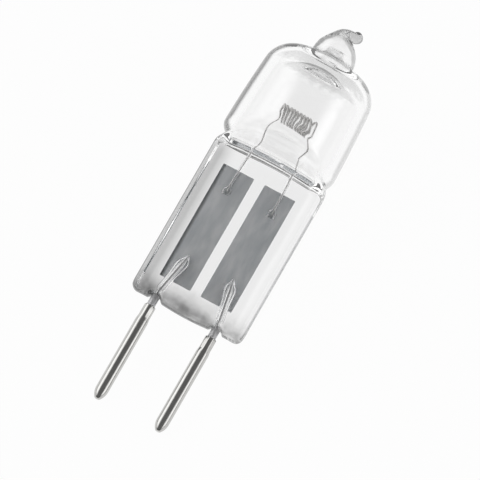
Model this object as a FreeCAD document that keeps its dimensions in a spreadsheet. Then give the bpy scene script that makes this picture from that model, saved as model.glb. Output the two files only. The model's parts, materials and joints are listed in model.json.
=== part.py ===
import FreeCAD, Part
import math
import os

import Sketcher

# A low voltage halogen capsule with two pins.
# The lamp is modelled along +X: pin ends at x = 0, pinch seal, bulb, exhaust tip at the far end.
# The broad face of the pinch looks up, +Z. The left lead is at +Y and the right lead at -Y.
# Every finished piece is then turned to the attitude in which the lamp lies on a table.

Vector = FreeCAD.Vector
LEFT = 1
RIGHT = -1
SIDES = {"left": LEFT, "right": RIGHT}
WIRE_SIDES = 6
COIL_STEPS = 12
UNDERSIDE_STEPS = 400
ON_AXIS = 1e-9

# Driving dimensions, millimetres and degrees
SIZES = (
    # Pins: a plated sleeve over each molybdenum lead
    ("pin_spacing", 6.35),
    ("pin_diameter", 1.25),
    ("nose_length", 1.05),
    ("nose_flat_diameter", 0.45),
    ("shank_end", 8.45),
    ("step_length", 0.3),
    ("crimp_length", 1.3),
    ("crimp_diameter", 1.12),
    ("crimp_mouth_diameter", 1.04),
    ("crimp_flats", 1.02),
    ("sleeve_bore_clearance", 0.03),
    ("sleeve_floor", 1.6),
    # Outer leads: from the sleeve through the seal onto the foils
    ("lead_diameter", 0.8),
    ("lead_end_gap", 0.1),
    ("neck_length", 0.65),
    ("lead_bend_depth", 0.6),
    ("lead_bend_radius", 3.0),
    ("lead_top_spacing", 4.7),
    ("lead_overlap", 2.7),
    ("lead_clearance", 0.03),
    # Foils sealed in the pinch
    ("foil_width", 3.2),
    ("foil_length", 12.1),
    ("foil_depth", 2.3),
    ("foil_gap", 1.1),
    ("foil_thickness", 0.03),
    ("foil_edge_thickness", 0.01),
    ("foil_feather", 0.35),
    # Pinch seal
    ("pinch_length", 16.2),
    ("pinch_width", 11.5),
    ("web_thickness", 2.6),
    ("rail_thickness", 3.1),
    ("rail_width", 1.0),
    ("rail_inset", 0.08),
    ("rail_round", 0.4),
    ("pinch_corner", 0.75),
    ("pinch_edge_round", 0.5),
    ("notch_width", 1.45),
    ("notch_depth", 0.55),
    ("tab_bulge", 0.12),
    ("pinch_side_trim", 0.07),
    # Neck and shoulders where the tube was pressed
    ("neck_groove_depth", 0.5),
    ("neck_groove_width", 1.6),
    ("neck_groove_bottom", 0.72),
    ("shoulder_height", 3.4),
    ("shoulder_angle", 78.0),
    ("shoulder_outer_round", 2.6),
    ("shoulder_inner_round", 0.9),
    ("shoulder_overrun", 0.06),
    # Bulb
    ("bulb_diameter", 11.64),
    ("wall", 1.05),
    ("barrel_length", 7.1),
    ("barrel_taper", 2.8),
    ("dome_corner_radius", 2.6),
    ("dome_corner_angle", 78.0),
    ("dome_rise", 5.0),
    ("cavity_floor_height", 0.5),
    # Exhaust tip
    ("tip_base_diameter", 4.2),
    ("tip_height", 3.35),
    ("tip_shoulder_height", 0.9),
    ("tip_shoulder_diameter", 3.9),
    ("tip_bore_base_diameter", 3.2),
    ("tip_bore_end_diameter", 1.74),
    ("tip_bore_height", 0.93),
    ("tip_neck_height", 2.25),
    ("tip_neck_diameter", 2.3),
    ("nib_diameter", 1.2),
    ("nib_stem_diameter", 0.9),
    ("nib_shift", 0.9),
    ("nib_drop", 0.15),
    # Filament: one tungsten wire, coil and both legs
    ("wire_diameter", 0.2),
    ("coil_diameter", 1.75),
    ("coil_pitch", 0.36),
    ("coil_turns", 10.5),
    ("coil_skew", 12.0),
    ("coil_height", 4.9),
    ("leg_run", 0.8),
    ("leg_bend_radius", 1.2),
    ("leg_spacing_floor", 4.3),
    ("leg_spacing_end", 4.7),
    ("leg_overlap", 2.2),
    ("leg_entry", 0.45),
    ("leg_clearance", 0.03),
)

doc = FreeCAD.newDocument("halogen_capsule_bulb")


def make_sheet():
    """Put the driving dimensions in the spreadsheet, one named cell each."""
    sheet = doc.addObject("Spreadsheet::Sheet", "Sizes")
    for row, (name, value) in enumerate(SIZES, start=1):
        sheet.set(f"A{row}", name)
        sheet.set(f"B{row}", str(value))
        sheet.setAlias(f"B{row}", name)
    doc.recompute()
    return sheet


sheet = make_sheet()


def value(formula):
    """The present value of a formula made by size."""
    return float(sheet.evalExpression(formula))


def cell(name):
    """The value of one driving dimension."""
    return float(sheet.get(name))


# Places along the lamp that several pieces share, as formulas of the sheet
def size(text):
    """A formula in which @name stands for the sheet's cell of that name."""
    return "(" + text.replace("@", "Sizes.") + ")"


SLEEVE_END = size("@shank_end + @step_length + @crimp_length")
PINCH_END = size(f"{SLEEVE_END} + @neck_length")
PINCH_TOP = size(f"{PINCH_END} + @pinch_length")
GROOVE_TOP = size(f"{PINCH_TOP} + @neck_groove_width")
BULB_RADIUS = size("@bulb_diameter / 2")
PINCH_HALF = size("@pinch_width / 2")
PINCH_STOCK = size(f"{PINCH_HALF} + @pinch_side_trim")
FACE = size("@web_thickness / 2")
SHOULDER_TOP = size(f"{PINCH_TOP} + @shoulder_height")
LEAD_RADIUS = size("@lead_diameter / 2")
FOIL_START = size(f"{PINCH_END} + @foil_depth")
FOIL_END = size(f"{FOIL_START} + @foil_length")
FOIL_MIDDLE = size("(@foil_gap + @foil_width) / 2")
FOIL_LEVEL = size(f"-{LEAD_RADIUS} - @foil_thickness / 2")
CAVITY_FLOOR = size(f"{PINCH_TOP} + @cavity_floor_height")


# Sketching
def role_plane(body, role):
    """One of the origin planes of a body."""
    return next(item for item in body.Origin.OriginFeatures if item.Role == role)


def new_sketch(body, name, role, offset=None):
    """A sketch on an origin plane of its body, lifted off it by a formula where one is given."""
    sketch = body.newObject("Sketcher::SketchObject", name)
    sketch.AttachmentSupport = (role_plane(body, role), "")
    sketch.MapMode = "FlatFace"
    if offset is not None:
        sketch.setExpression("AttachmentOffset.Base.z", offset)
    return sketch


def arc_through(start, end, radius):
    """The shorter arc from start to end; a positive radius bulges to the left of travel."""
    chord = end - start
    left = Vector(-chord.y, chord.x, 0).normalize()
    reach = math.sqrt(radius ** 2 - chord.Length ** 2 / 4)
    side = 1 if radius > 0 else -1
    centre = (start + end) * 0.5 - left * side * reach
    first, last = (end, start) if side > 0 else (start, end)
    from_angle = math.atan2(first.y - centre.y, first.x - centre.x)
    to_angle = math.atan2(last.y - centre.y, last.x - centre.x)
    if to_angle < from_angle:
        to_angle += 2 * math.pi
    circle = Part.Circle(centre, Vector(0, 0, 1), abs(radius))
    return Part.ArcOfCircle(circle, from_angle, to_angle)


def pin_corner(sketch, edge, end, label, corner):
    """Hold one end of an edge at a corner given by two formulas."""
    for kind, axis, formula, suffix in (
        ("DistanceX", -2, corner[0], "x"),
        ("DistanceY", -1, corner[1], "y"),
    ):
        amount = value(formula)
        if abs(amount) < ON_AXIS:
            sketch.addConstraint(Sketcher.Constraint("PointOnObject", edge, end, axis))
            continue
        index = sketch.addConstraint(Sketcher.Constraint(kind, -1, 1, edge, end, amount))
        sketch.renameConstraint(index, label + suffix)
        sketch.setExpression("Constraints." + label + suffix, formula)


def draw(sketch, corners, arcs=None, closed=True, tag="p"):
    """Draw lines and arcs through corners; arcs gives an edge's number its radius formula."""
    arcs = arcs or {}
    points = [Vector(value(x), value(y), 0) for x, y in corners]
    count = len(corners) if closed else len(corners) - 1
    edges = []
    for number in range(count):
        start = points[number]
        end = points[(number + 1) % len(points)]
        if number not in arcs:
            edges.append((sketch.addGeometry(Part.LineSegment(start, end), False), 1, 2))
            continue
        radius = value(arcs[number])
        edge = sketch.addGeometry(arc_through(start, end, radius), False)
        edges.append((edge, 2, 1) if radius > 0 else (edge, 1, 2))
        index = sketch.addConstraint(Sketcher.Constraint("Radius", edge, abs(radius)))
        sketch.renameConstraint(index, f"{tag}{number}r")
        sketch.setExpression(f"Constraints.{tag}{number}r", f"abs({arcs[number]})")
    for number, (edge, start_end, _) in enumerate(edges):
        pin_corner(sketch, edge, start_end, f"{tag}{number}", corners[number])
        if number > 0 or closed:
            before = edges[number - 1]
            sketch.addConstraint(
                Sketcher.Constraint("Coincident", before[0], before[2], edge, start_end)
            )
    if not closed:
        pin_corner(sketch, edges[-1][0], edges[-1][2], f"{tag}{count}", corners[-1])
    return sketch


def new_body(name):
    """A body with its name as its label."""
    body = doc.addObject("PartDesign::Body", name)
    body.Label = name
    return body


def revolve(body, name, sketch):
    """Turn a half outline about the lamp's axis."""
    feature = body.newObject("PartDesign::Revolution", name)
    feature.Profile = sketch
    feature.ReferenceAxis = (role_plane(body, "X_Axis"), [""])
    feature.Angle = 360
    return feature


def pocket_through(body, name, sketch):
    """Cut an outline through the whole body, both ways."""
    feature = body.newObject("PartDesign::Pocket", name)
    feature.Profile = sketch
    feature.Type = "ThroughAll"
    feature.Midplane = True
    return feature


def circle_sketch(body, name, diameter, offset, middle):
    """A circle across the lamp's axis, at the height offset and centred at (y, z) formulas."""
    sketch = new_sketch(body, name, "YZ_Plane", offset)
    centre = Vector(value(middle[0]), value(middle[1]), 0)
    circle = Part.Circle(centre, Vector(0, 0, 1), value(diameter) / 2)
    edge = sketch.addGeometry(circle, False)
    index = sketch.addConstraint(Sketcher.Constraint("Diameter", edge, value(diameter)))
    sketch.renameConstraint(index, "diameter")
    sketch.setExpression("Constraints.diameter", diameter)
    pin_corner(sketch, edge, 3, "centre", middle)
    return sketch


# Pins
def make_sleeve(name):
    """A closed-ended pin sleeve about its own X axis, crimped at its mouth with four flats."""
    body = new_body(name)
    flat = size("@nose_flat_diameter / 2")
    outer = size("@pin_diameter / 2")
    crimp = size("@crimp_diameter / 2")
    mouth = size("@crimp_mouth_diameter / 2")
    bore = size(f"{LEAD_RADIUS} + @sleeve_bore_clearance")
    drop = size(f"{outer} - {flat}")
    ogive = size(f"(@nose_length * @nose_length + {drop} * {drop}) / (2 * {drop})")
    step_end = size("@shank_end + @step_length")
    corners = [
        ("0", "0"),
        ("0", flat),
        (size("@nose_length"), outer),
        (size("@shank_end"), outer),
        (step_end, crimp),
        (SLEEVE_END, mouth),
        (SLEEVE_END, LEAD_RADIUS),
        (step_end, LEAD_RADIUS),
        (step_end, bore),
        (size("@sleeve_floor"), bore),
        (size("@sleeve_floor"), "0"),
    ]
    profile = draw(new_sketch(body, name + "_profile", "XY_Plane"), corners, {1: ogive})
    revolve(body, name + "_turned", profile)
    doc.recompute()
    across = size("@crimp_flats / 2")
    strip = [
        (step_end, across),
        (PINCH_END, across),
        (PINCH_END, size("@pin_diameter")),
        (step_end, size("@pin_diameter")),
    ]
    cutter = draw(new_sketch(body, name + "_flat_outline", "XY_Plane"), strip)
    flat_cut = pocket_through(body, name + "_flat", cutter)
    doc.recompute()
    pattern = body.newObject("PartDesign::PolarPattern", name + "_flats")
    pattern.Originals = [flat_cut]
    pattern.Axis = (role_plane(body, "X_Axis"), [""])
    pattern.Angle = 360
    pattern.Occurrences = 4
    body.Tip = pattern
    doc.recompute()
    return body


def lead_route(side):
    """Corners and bend of a lead's centre line: out of the sleeve, then inwards to its foil."""
    out = size(f"{side} * @pin_spacing / 2")
    top = size(f"{side} * @lead_top_spacing / 2")
    bend = size(f"{PINCH_END} + @lead_bend_depth")
    end = size(f"{FOIL_START} + @lead_overlap")
    turn = size(f"atan((@pin_spacing - @lead_top_spacing) / 2 / ({end} - {bend}))")
    tangent = size(f"@lead_bend_radius * tan({turn} / 2)")
    corners = [
        (size("@sleeve_floor + @lead_end_gap"), out),
        (size(f"{bend} - {tangent}"), out),
        (size(f"{bend} + {tangent} * cos({turn})"), size(f"{out} - {side} * {tangent} * sin({turn})")),
        (end, top),
    ]
    return corners, {1: size(f"{side} * @lead_bend_radius")}


def make_lead(name, side, clearance="0"):
    """A round molybdenum lead, or the bore that it leaves in the glass where clearance is given."""
    body = new_body(name)
    corners, arcs = lead_route(side)
    diameter = size(f"@lead_diameter + 2 * {clearance}")
    section = circle_sketch(body, name + "_section", diameter, corners[0][0], (corners[0][1], "0"))
    path = draw(new_sketch(body, name + "_route", "XY_Plane"), corners, arcs, closed=False)
    pipe = body.newObject("PartDesign::AdditivePipe", name + "_wire")
    pipe.Profile = section
    pipe.Spine = path
    doc.recompute()
    return body


# Foils
def make_foil(name, side):
    """A rolled molybdenum foil with etched feather edges, lying behind the leads' ends."""
    body = new_body(name)
    middle = size(f"{side} * {FOIL_MIDDLE}")
    half = size("@foil_width / 2")
    full = size("@foil_width / 2 - @foil_feather")
    thick = size("@foil_thickness / 2")
    edge = size("@foil_edge_thickness / 2")
    outline = [
        (f"-{half}", f"-{edge}"),
        (f"-{full}", f"-{thick}"),
        (full, f"-{thick}"),
        (half, f"-{edge}"),
        (half, edge),
        (full, thick),
        (f"-{full}", thick),
        (f"-{half}", edge),
    ]
    corners = [(size(f"{middle} + {y}"), size(f"{FOIL_LEVEL} + {z}")) for y, z in outline]
    section = draw(new_sketch(body, name + "_section", "YZ_Plane", FOIL_START), corners)
    pad = body.newObject("PartDesign::Pad", name + "_strip")
    pad.Profile = section
    pad.setExpression("Length", size("@foil_length"))
    doc.recompute()
    return body


# Glass
def dome_places(inset):
    """Corners of the bulb's half outline, moved in by inset, and its rounded corner's radius."""
    corner = size(f"@dome_corner_radius - {inset}")
    start = (
        size(f"{GROOVE_TOP} - {inset} * sin(@barrel_taper)"),
        size(f"{BULB_RADIUS} - {inset} * cos(@barrel_taper)"),
    )
    turn = (
        size(f"{start[0]} + @barrel_length"),
        size(f"{start[1]} - @barrel_length * tan(@barrel_taper)"),
    )
    centre = (
        size(f"{turn[0]} - {corner} * sin(@barrel_taper)"),
        size(f"{turn[1]} - {corner} * cos(@barrel_taper)"),
    )
    top = (
        size(f"{centre[0]} + {corner} * sin(@dome_corner_angle)"),
        size(f"{centre[1]} + {corner} * cos(@dome_corner_angle)"),
    )
    half_way = "(Sizes.barrel_taper + Sizes.dome_corner_angle) / 2"
    knee = (
        size(f"{centre[0]} + {corner} * sin({half_way})"),
        size(f"{centre[1]} + {corner} * cos({half_way})"),
    )
    return start, turn, knee, top, corner


def dome_point(inset, level):
    """Where the gently rising dome, moved in by inset, has the radius level."""
    _, _, _, top, _ = dome_places(inset)
    return size(f"{top[0]} + ({top[1]} - {level}) * tan(@dome_rise)"), level


def pressing(inset, face):
    """Front half of the shoulder's side outline, from its foot on the face up to the bulb."""
    large = size(f"@shoulder_outer_round - {inset}")
    level = size(f"{BULB_RADIUS} - {inset} + @shoulder_overrun")
    slope = size("sin(@shoulder_angle)")
    turn = size("1 - cos(@shoulder_angle)")
    upper = (size(f"{SHOULDER_TOP} - {large} * {slope}"), size(f"{level} - {large} * {turn}"))
    small = size("@shoulder_inner_round")
    lower_level = size(f"{face} + {small} * {turn}")
    run = size(f"({upper[1]} - {lower_level}) / tan(@shoulder_angle)")
    lower = (size(f"{upper[0]} - {run}"), lower_level)
    foot = (size(f"{lower[0]} - {small} * {slope}"), face)
    return foot, lower, upper, (SHOULDER_TOP, level), large, small


def mirrored(corners):
    """The corners with the second coordinate turned over, in reverse order."""
    return [(x, f"(-1 * {z})") for x, z in reversed(corners)]


def make_outer_body():
    """The glass outside: turned bulb, pressed shoulders, web and rails, and shaped end."""
    body = new_body("glass_outside")
    start, turn, _, top, corner = dome_places("0")
    apex = dome_point("0", "0")[0]
    below = size(f"{PINCH_END} - @notch_width")
    groove = (
        size(f"{PINCH_TOP} + @neck_groove_bottom"),
        size(f"{BULB_RADIUS} - @neck_groove_depth"),
    )
    neck = (size(f"{apex} + @tip_neck_height"), size("@tip_neck_diameter / 2"))
    tip_end = size(f"{apex} + @tip_height")
    crown = size(f"{tip_end} - {neck[0]}")
    crown_radius = size(f"({crown} * {crown} + {neck[1]} * {neck[1]}) / (2 * {crown})")
    corners = [
        (below, "0"),
        (below, PINCH_STOCK),
        (PINCH_TOP, PINCH_STOCK),
        groove,
        start,
        turn,
        top,
        dome_point("0", size("@tip_base_diameter / 2")),
        (size(f"{apex} + @tip_shoulder_height"), size("@tip_shoulder_diameter / 2")),
        neck,
        (tip_end, "0"),
    ]
    arcs = {5: corner, 9: crown_radius}
    profile = draw(new_sketch(body, "bulb_outline", "XY_Plane"), corners, arcs)
    revolve(body, "blown_bulb", profile)
    doc.recompute()
    foot, lower, upper, end, large, small = pressing("0", FACE)
    glass_end = size(f"{PINCH_END} - @tab_bulge")
    edge = size("@pinch_edge_round")
    clear = size("@bulb_diameter")
    half_outline = [
        (glass_end, size(f"{FACE} - {edge}")),
        (size(f"{glass_end} + {edge}"), FACE),
        foot,
        lower,
        upper,
        end,
        (SHOULDER_TOP, clear),
        (size(f"{below} - @notch_width"), clear),
    ]
    press_arcs = {0: edge, 2: f"(-1 * {small})", 4: large}
    count = len(half_outline)
    back_arcs = {2 * count - 2 - number: radius for number, radius in press_arcs.items()}
    corners = half_outline + mirrored(half_outline)
    side = new_sketch(body, "side_outline", "XZ_Plane")
    draw(side, corners, {**press_arcs, **back_arcs})
    pocket_through(body, "pressed_shoulders", side)
    doc.recompute()
    add_rails(body)
    cut_end(body)
    return body


def rounded_section(sketch, tag, middle, wide, tall):
    """A rectangle with a rail's rounded corners about a middle on the sketch's first axis."""
    radius = size("@rail_round")
    flat = size(f"{wide} / 2 - {radius}")
    side = size(f"{wide} / 2")
    low = size(f"{tall} / 2 - {radius}")
    top = size(f"{tall} / 2")
    outline = [
        (f"-{flat}", f"-{top}"),
        (flat, f"-{top}"),
        (side, f"-{low}"),
        (side, low),
        (flat, top),
        (f"-{flat}", top),
        (f"-{side}", low),
        (f"-{side}", f"-{low}"),
    ]
    corners = [(size(f"{middle} + {along}"), across) for along, across in outline]
    rounding = f"(-1 * {radius})"
    draw(sketch, corners, {1: rounding, 3: rounding, 5: rounding, 7: rounding}, tag=tag)


def add_rails(body):
    """The thicker, rounded rail of glass along each side of the pinch."""
    below = size(f"{PINCH_END} - @notch_width / 2")
    sketch = new_sketch(body, "rail_outline", "YZ_Plane", below)
    middle = size(f"{PINCH_HALF} - @rail_inset - @rail_width / 2")
    for tag, side in SIDES.items():
        place = size(f"{side} * {middle}")
        rounded_section(sketch, tag, place, size("@rail_width"), size("@rail_thickness"))
    pad = body.newObject("PartDesign::Pad", "rails")
    pad.Profile = sketch
    pad.setExpression("Length", size(f"{PINCH_TOP} - {below}"))
    doc.recompute()


def cut_end(body):
    """Shape the pinch's free end: rounded corners, a notch at each lead and convex lobes."""
    sketch = new_sketch(body, "end_outline", "XY_Plane")
    half = size(f"{PINCH_STOCK} + @pinch_corner")
    side_level = PINCH_HALF
    corner = size("@pinch_corner")
    outer = size("(@pin_spacing + @notch_width) / 2")
    inner = size("(@pin_spacing - @notch_width) / 2")
    notch_half = size("@notch_width / 2")
    notch = size(f"({notch_half} * {notch_half} + @notch_depth * @notch_depth) / (2 * @notch_depth)")
    tab = size(f"({inner} * {inner} + @tab_bulge * @tab_bulge) / (2 * @tab_bulge)")
    below = size(f"{PINCH_END} - 2 * @notch_width")
    upper_half = [
        (below, half),
        (size(f"{PINCH_TOP} - @pinch_corner"), half),
        (size(f"{PINCH_TOP} - @pinch_corner"), side_level),
        (size(f"{PINCH_END} + {corner}"), side_level),
        (PINCH_END, size(f"{side_level} - {corner}")),
        (PINCH_END, outer),
        (PINCH_END, inner),
    ]
    arcs = {
        3: f"(-1 * {corner})",
        5: notch,
        6: f"(-1 * {tab})",
        7: notch,
        9: f"(-1 * {corner})",
    }
    draw(sketch, upper_half + mirrored(upper_half), arcs)
    pocket_through(body, "shaped_end", sketch)
    doc.recompute()


def make_cavity():
    """The gas space: the bulb's inside, closed flat over the pinch, and the exhaust tip's bore."""
    body = new_body("gas_space")
    inset = size("@wall")
    start, turn, knee, top, _ = dome_places(inset)
    bore_end = size(f"{dome_point('0', '0')[0]} + @tip_bore_height")
    below = size(f"{CAVITY_FLOOR} - @wall")
    corners = [
        (below, "0"),
        (below, start[1]),
        start,
        turn,
        knee,
        top,
        dome_point(inset, size("@tip_bore_base_diameter / 2")),
        (bore_end, size("@tip_bore_end_diameter / 2")),
        (bore_end, "0"),
    ]
    profile = draw(new_sketch(body, "inner_outline", "XY_Plane"), corners)
    revolve(body, "blown_space", profile)
    doc.recompute()
    _, _, upper, end, large, _ = pressing(inset, FACE)
    clear = size("@bulb_diameter")
    half_outline = [
        (CAVITY_FLOOR, "0"),
        upper,
        end,
        (SHOULDER_TOP, clear),
        (size(f"{below} - @wall"), clear),
    ]
    back = mirrored(half_outline)[:-1]
    corners = half_outline + back
    arcs = {1: large, len(corners) - 2: large}
    side = draw(new_sketch(body, "inner_side_outline", "XZ_Plane"), corners, arcs)
    pocket_through(body, "pressed_space", side)
    doc.recompute()
    return body


def make_nib():
    """The bead where the exhaust tube was melted off, and its stem: they hook over to the right."""
    apex = dome_point("0", "0")[0]
    root = Vector(value(apex) + cell("tip_neck_height"), 0, 0)
    bead_x = size(f"{apex} + @tip_height - @nib_drop")
    bead_y = size("-1 * @nib_shift")
    bead = doc.addObject("Part::Sphere", "nib_bead")
    bead.setExpression("Radius", size("@nib_diameter / 2"))
    bead.setExpression("Placement.Base.x", bead_x)
    bead.setExpression("Placement.Base.y", bead_y)
    reach = Vector(value(bead_x), value(bead_y), 0) - root
    stem = doc.addObject("Part::Cone", "nib_stem")
    stem.setExpression("Radius1", size("@tip_neck_diameter / 2 - @wire_diameter"))
    stem.setExpression("Radius2", size("@nib_stem_diameter / 2"))
    stem.Height = reach.Length
    stem.Placement = FreeCAD.Placement(root, FreeCAD.Rotation(Vector(0, 0, 1), reach))
    return [stem, bead]


def make_leg_channel(name, side):
    """The close channel that a filament leg leaves in the pinch glass."""
    foot, entry = leg_points(side)
    beyond = entry + (entry - foot).normalize() * cell("leg_entry")
    channel = doc.addObject("Part::Cylinder", name)
    channel.setExpression("Radius", size("@wire_diameter / 2 + @leg_clearance"))
    channel.Height = (beyond - foot).Length
    channel.Placement = FreeCAD.Placement(
        foot, FreeCAD.Rotation(Vector(0, 0, 1), beyond - foot)
    )
    return channel


def make_envelope():
    """The quartz envelope: the outside less the gas space, foil slots, lead bores and channels."""
    outside = doc.addObject("Part::MultiFuse", "glass_body")
    outside.Shapes = [make_outer_body()] + make_nib()
    voids = [make_cavity()]
    for word, side in SIDES.items():
        voids.append(make_foil(f"foil_slot_{word}", side))
        voids.append(make_lead(f"lead_bore_{word}", side, size("@lead_clearance")))
        voids.append(make_leg_channel(f"leg_channel_{word}", side))
    space = doc.addObject("Part::MultiFuse", "glass_voids")
    space.Shapes = voids
    envelope = doc.addObject("Part::Cut", "quartz_envelope")
    envelope.Base = outside
    envelope.Tool = space
    envelope.Label = "quartz_envelope"
    doc.recompute()
    return envelope


# Filament
def leg_points(side):
    """Where a leg ends over its foil and where it comes out of the cavity floor."""
    level = value(FOIL_LEVEL) + cell("foil_thickness") / 2 + cell("wire_diameter") / 2
    foot = Vector(
        value(FOIL_END) - cell("leg_overlap"), side * cell("leg_spacing_end") / 2, level
    )
    entry = Vector(
        value(CAVITY_FLOOR) + cell("leg_entry"), side * cell("leg_spacing_floor") / 2, level
    )
    return foot, entry


def rounded_edges(points, radius):
    """Straight runs through points, with a tangent arc of one radius at each inner point."""
    edges = []
    start = points[0]
    for before, corner, after in zip(points, points[1:], points[2:]):
        into = (corner - before).normalize()
        out = (after - corner).normalize()
        half_turn = into.getAngle(out) / 2
        tangent = radius * math.tan(half_turn)
        arc_start = corner - into * tangent
        arc_end = corner + out * tangent
        inward = (out - into).normalize()
        middle = corner + inward * (radius / math.cos(half_turn) - radius)
        edges.append(Part.LineSegment(start, arc_start).toShape())
        edges.append(Part.Arc(arc_start, middle, arc_end).toShape())
        start = arc_end
    edges.append(Part.LineSegment(start, points[-1]).toShape())
    return edges


def coil_edge():
    """The coil's centre line: a right-handed helix across the lamp, its left end turned forward."""
    radius = (cell("coil_diameter") - cell("wire_diameter")) / 2
    length = cell("coil_pitch") * cell("coil_turns")
    helix = Part.makeHelix(cell("coil_pitch"), length, radius)
    helix.translate(Vector(0, 0, -length / 2))
    across = FreeCAD.Rotation(Vector(0, 0, -1), Vector(1, 0, 0), Vector(0, -1, 0), "XYZ")
    skew = FreeCAD.Rotation(Vector(1, 0, 0), cell("coil_skew"))
    place = Vector(value(PINCH_TOP) + cell("coil_height"), 0, 0)
    helix.Placement = FreeCAD.Placement(place, skew.multiply(across)).multiply(helix.Placement)
    return helix.Edges[0]


def leg_edges(side, coil_end, direction):
    """One leg from its foil to the coil's end, meeting the coil in line with its wire."""
    foot, entry = leg_points(side)
    bend = coil_end - direction * cell("leg_run")
    return rounded_edges([foot, entry, bend, coil_end], cell("leg_bend_radius"))


def wire_section(edge, place, beside):
    """The wire's section, kept to six sides, at a place on an edge; beside turns its corners."""
    middle = edge.valueAt(place)
    along = edge.tangentAt(place)
    first = along.cross(beside).normalize() * (cell("wire_diameter") / 2)
    corners = []
    for number in range(WIRE_SIDES + 1):
        turned = FreeCAD.Rotation(along, 360 * number / WIRE_SIDES).multVec(first)
        corners.append(middle + turned)
    return Part.makePolygon(corners)


def coil_solid(coil):
    """The coil's wire, lofted through sections a twelfth of a turn apart."""
    steps = round(cell("coil_turns") * COIL_STEPS)
    length = coil.LastParameter - coil.FirstParameter
    axis = coil.Placement.Rotation.multVec(Vector(0, 0, 1))
    sections = []
    for number in range(steps + 1):
        place = coil.FirstParameter + length * number / steps
        sections.append(wire_section(coil, place, axis))
    return Part.makeLoft(sections, True, True)


def leg_solid(edges):
    """One leg's wire, swept along its straight runs and bends."""
    route = Part.Wire(Part.__sortEdges__(edges))
    first = route.OrderedEdges[0]
    section = wire_section(first, first.FirstParameter, Vector(0, 0, 1))
    return route.makePipeShell([section], True, True)


def make_filament():
    """One tungsten wire: left leg, coil and right leg."""
    coil = coil_edge()
    first = coil.valueAt(coil.FirstParameter)
    last = coil.valueAt(coil.LastParameter)
    up = coil.tangentAt(coil.FirstParameter)
    down = coil.tangentAt(coil.LastParameter)
    left = leg_solid(leg_edges(LEFT, first, up))
    right = leg_solid(leg_edges(RIGHT, last, down * -1))
    filament = doc.addObject("Part::Feature", "filament")
    filament.Label = "filament"
    filament.Shape = coil_solid(coil).fuse([left, right])
    return filament


# Resting attitude
def bulb_underside():
    """Points of the bulb's underside in the lamp's middle plane, from the shoulder to the dome."""
    start, turn, _, _, _ = dome_places("0")
    _, _, _, end, round_radius, _ = pressing("0", FACE)
    first = (value(start[0]), value(start[1]))
    last = (value(turn[0]), value(turn[1]))
    top = value(end[0])
    level = value(end[1])
    large = value(round_radius)
    for number in range(UNDERSIDE_STEPS + 1):
        share = number / UNDERSIDE_STEPS
        along = first[0] + (last[0] - first[0]) * share
        depth = first[1] + (last[1] - first[1]) * share
        before = max(0.0, top - along)
        if before < large:
            depth = min(depth, level - large + math.sqrt(large ** 2 - before ** 2))
            yield along, -depth


def resting_tilt():
    """How far the axis rises from the pins to the bulb when both rest on a flat table."""
    drop = (cell("pin_diameter") - cell("nose_flat_diameter")) / 2
    ogive = (cell("nose_length") ** 2 + drop ** 2) / (2 * drop)
    nose = (cell("nose_length"), ogive - cell("pin_diameter") / 2)
    slopes = []
    for along, level in bulb_underside():
        run = along - nose[0]
        rise = level - nose[1]
        slopes.append(math.atan2(rise, run) + math.asin(ogive / math.hypot(run, rise)))
    return -math.degrees(min(slopes))


def lay_down(nodes, offsets):
    """Turn and move every piece together, so that the lamp lies on z = 0 about the origin."""
    turn = FreeCAD.Placement(Vector(), FreeCAD.Rotation(Vector(0, 1, 0), -resting_tilt()))
    box = FreeCAD.BoundBox()
    for node in nodes:
        local = FreeCAD.Placement(offsets.get(node.Name, Vector()), FreeCAD.Rotation())
        copy = node.Shape.copy()
        copy.Placement = turn.multiply(local).multiply(copy.Placement)
        box.add(copy.optimalBoundingBox(False, False))
    place = FreeCAD.Placement(Vector(-box.Center.x, -box.Center.y, -box.ZMin), FreeCAD.Rotation())
    for node in nodes:
        local = FreeCAD.Placement(offsets.get(node.Name, Vector()), FreeCAD.Rotation())
        node.Placement = place.multiply(turn).multiply(local)
    doc.recompute()
    return place.multiply(turn)


def check_all(nodes):
    """Stop before anything is written if an object failed or a shape isn't whole."""
    failed = [item.Name for item in doc.Objects if {"Invalid", "Error"} & set(item.State)]
    if failed:
        raise RuntimeError("failed objects: " + ", ".join(failed))
    for node in nodes:
        if node.Shape.isNull() or not node.Shape.isValid():
            raise RuntimeError(f"{node.Label} has no valid shape")
        if len(node.Shape.Solids) != 1:
            raise RuntimeError(f"{node.Label} has {len(node.Shape.Solids)} solids")


def build():
    """Make every piece, lay the lamp down and write one file for each piece."""
    nodes = [make_envelope(), make_filament()]
    offsets = {}
    for word, side in SIDES.items():
        nodes.append(make_foil(f"foil_{word}", side))
        nodes.append(make_lead(f"lead_{word}", side))
        sleeve = make_sleeve(f"pin_sleeve_{word}")
        offsets[sleeve.Name] = Vector(0, side * cell("pin_spacing") / 2, 0)
        nodes.append(sleeve)
    doc.recompute()
    check_all(nodes)
    attitude = lay_down(nodes, offsets)
    check_all(nodes)
    os.makedirs("parts", exist_ok=True)
    for node in nodes:
        node.Shape.exportStep(f"parts/{node.Label}.step")
        box = node.Shape.BoundBox
        print(f"{node.Label}: {node.Shape.Volume:.3f} mm3, x {box.XMin:.2f} to {box.XMax:.2f},",
              f"y {box.YMin:.2f} to {box.YMax:.2f}, z {box.ZMin:.2f} to {box.ZMax:.2f}")
    print("tilt", round(resting_tilt(), 3), "degrees; placement", attitude)
    for word, side in SIDES.items():
        tip = attitude.multVec(Vector(0, side * cell("pin_spacing") / 2, 0))
        print(f"pin end {word}:", tip)


build()
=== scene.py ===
"""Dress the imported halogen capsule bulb: clear quartz, sealed foils, coiled filament, plated pins.

Lengths are millimetres along the lamp's own axes until a piece is finished.
"""

from __future__ import annotations

import json
import logging
import math
from collections.abc import Callable, Iterable
from dataclasses import dataclass, field
from enum import Enum

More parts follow.
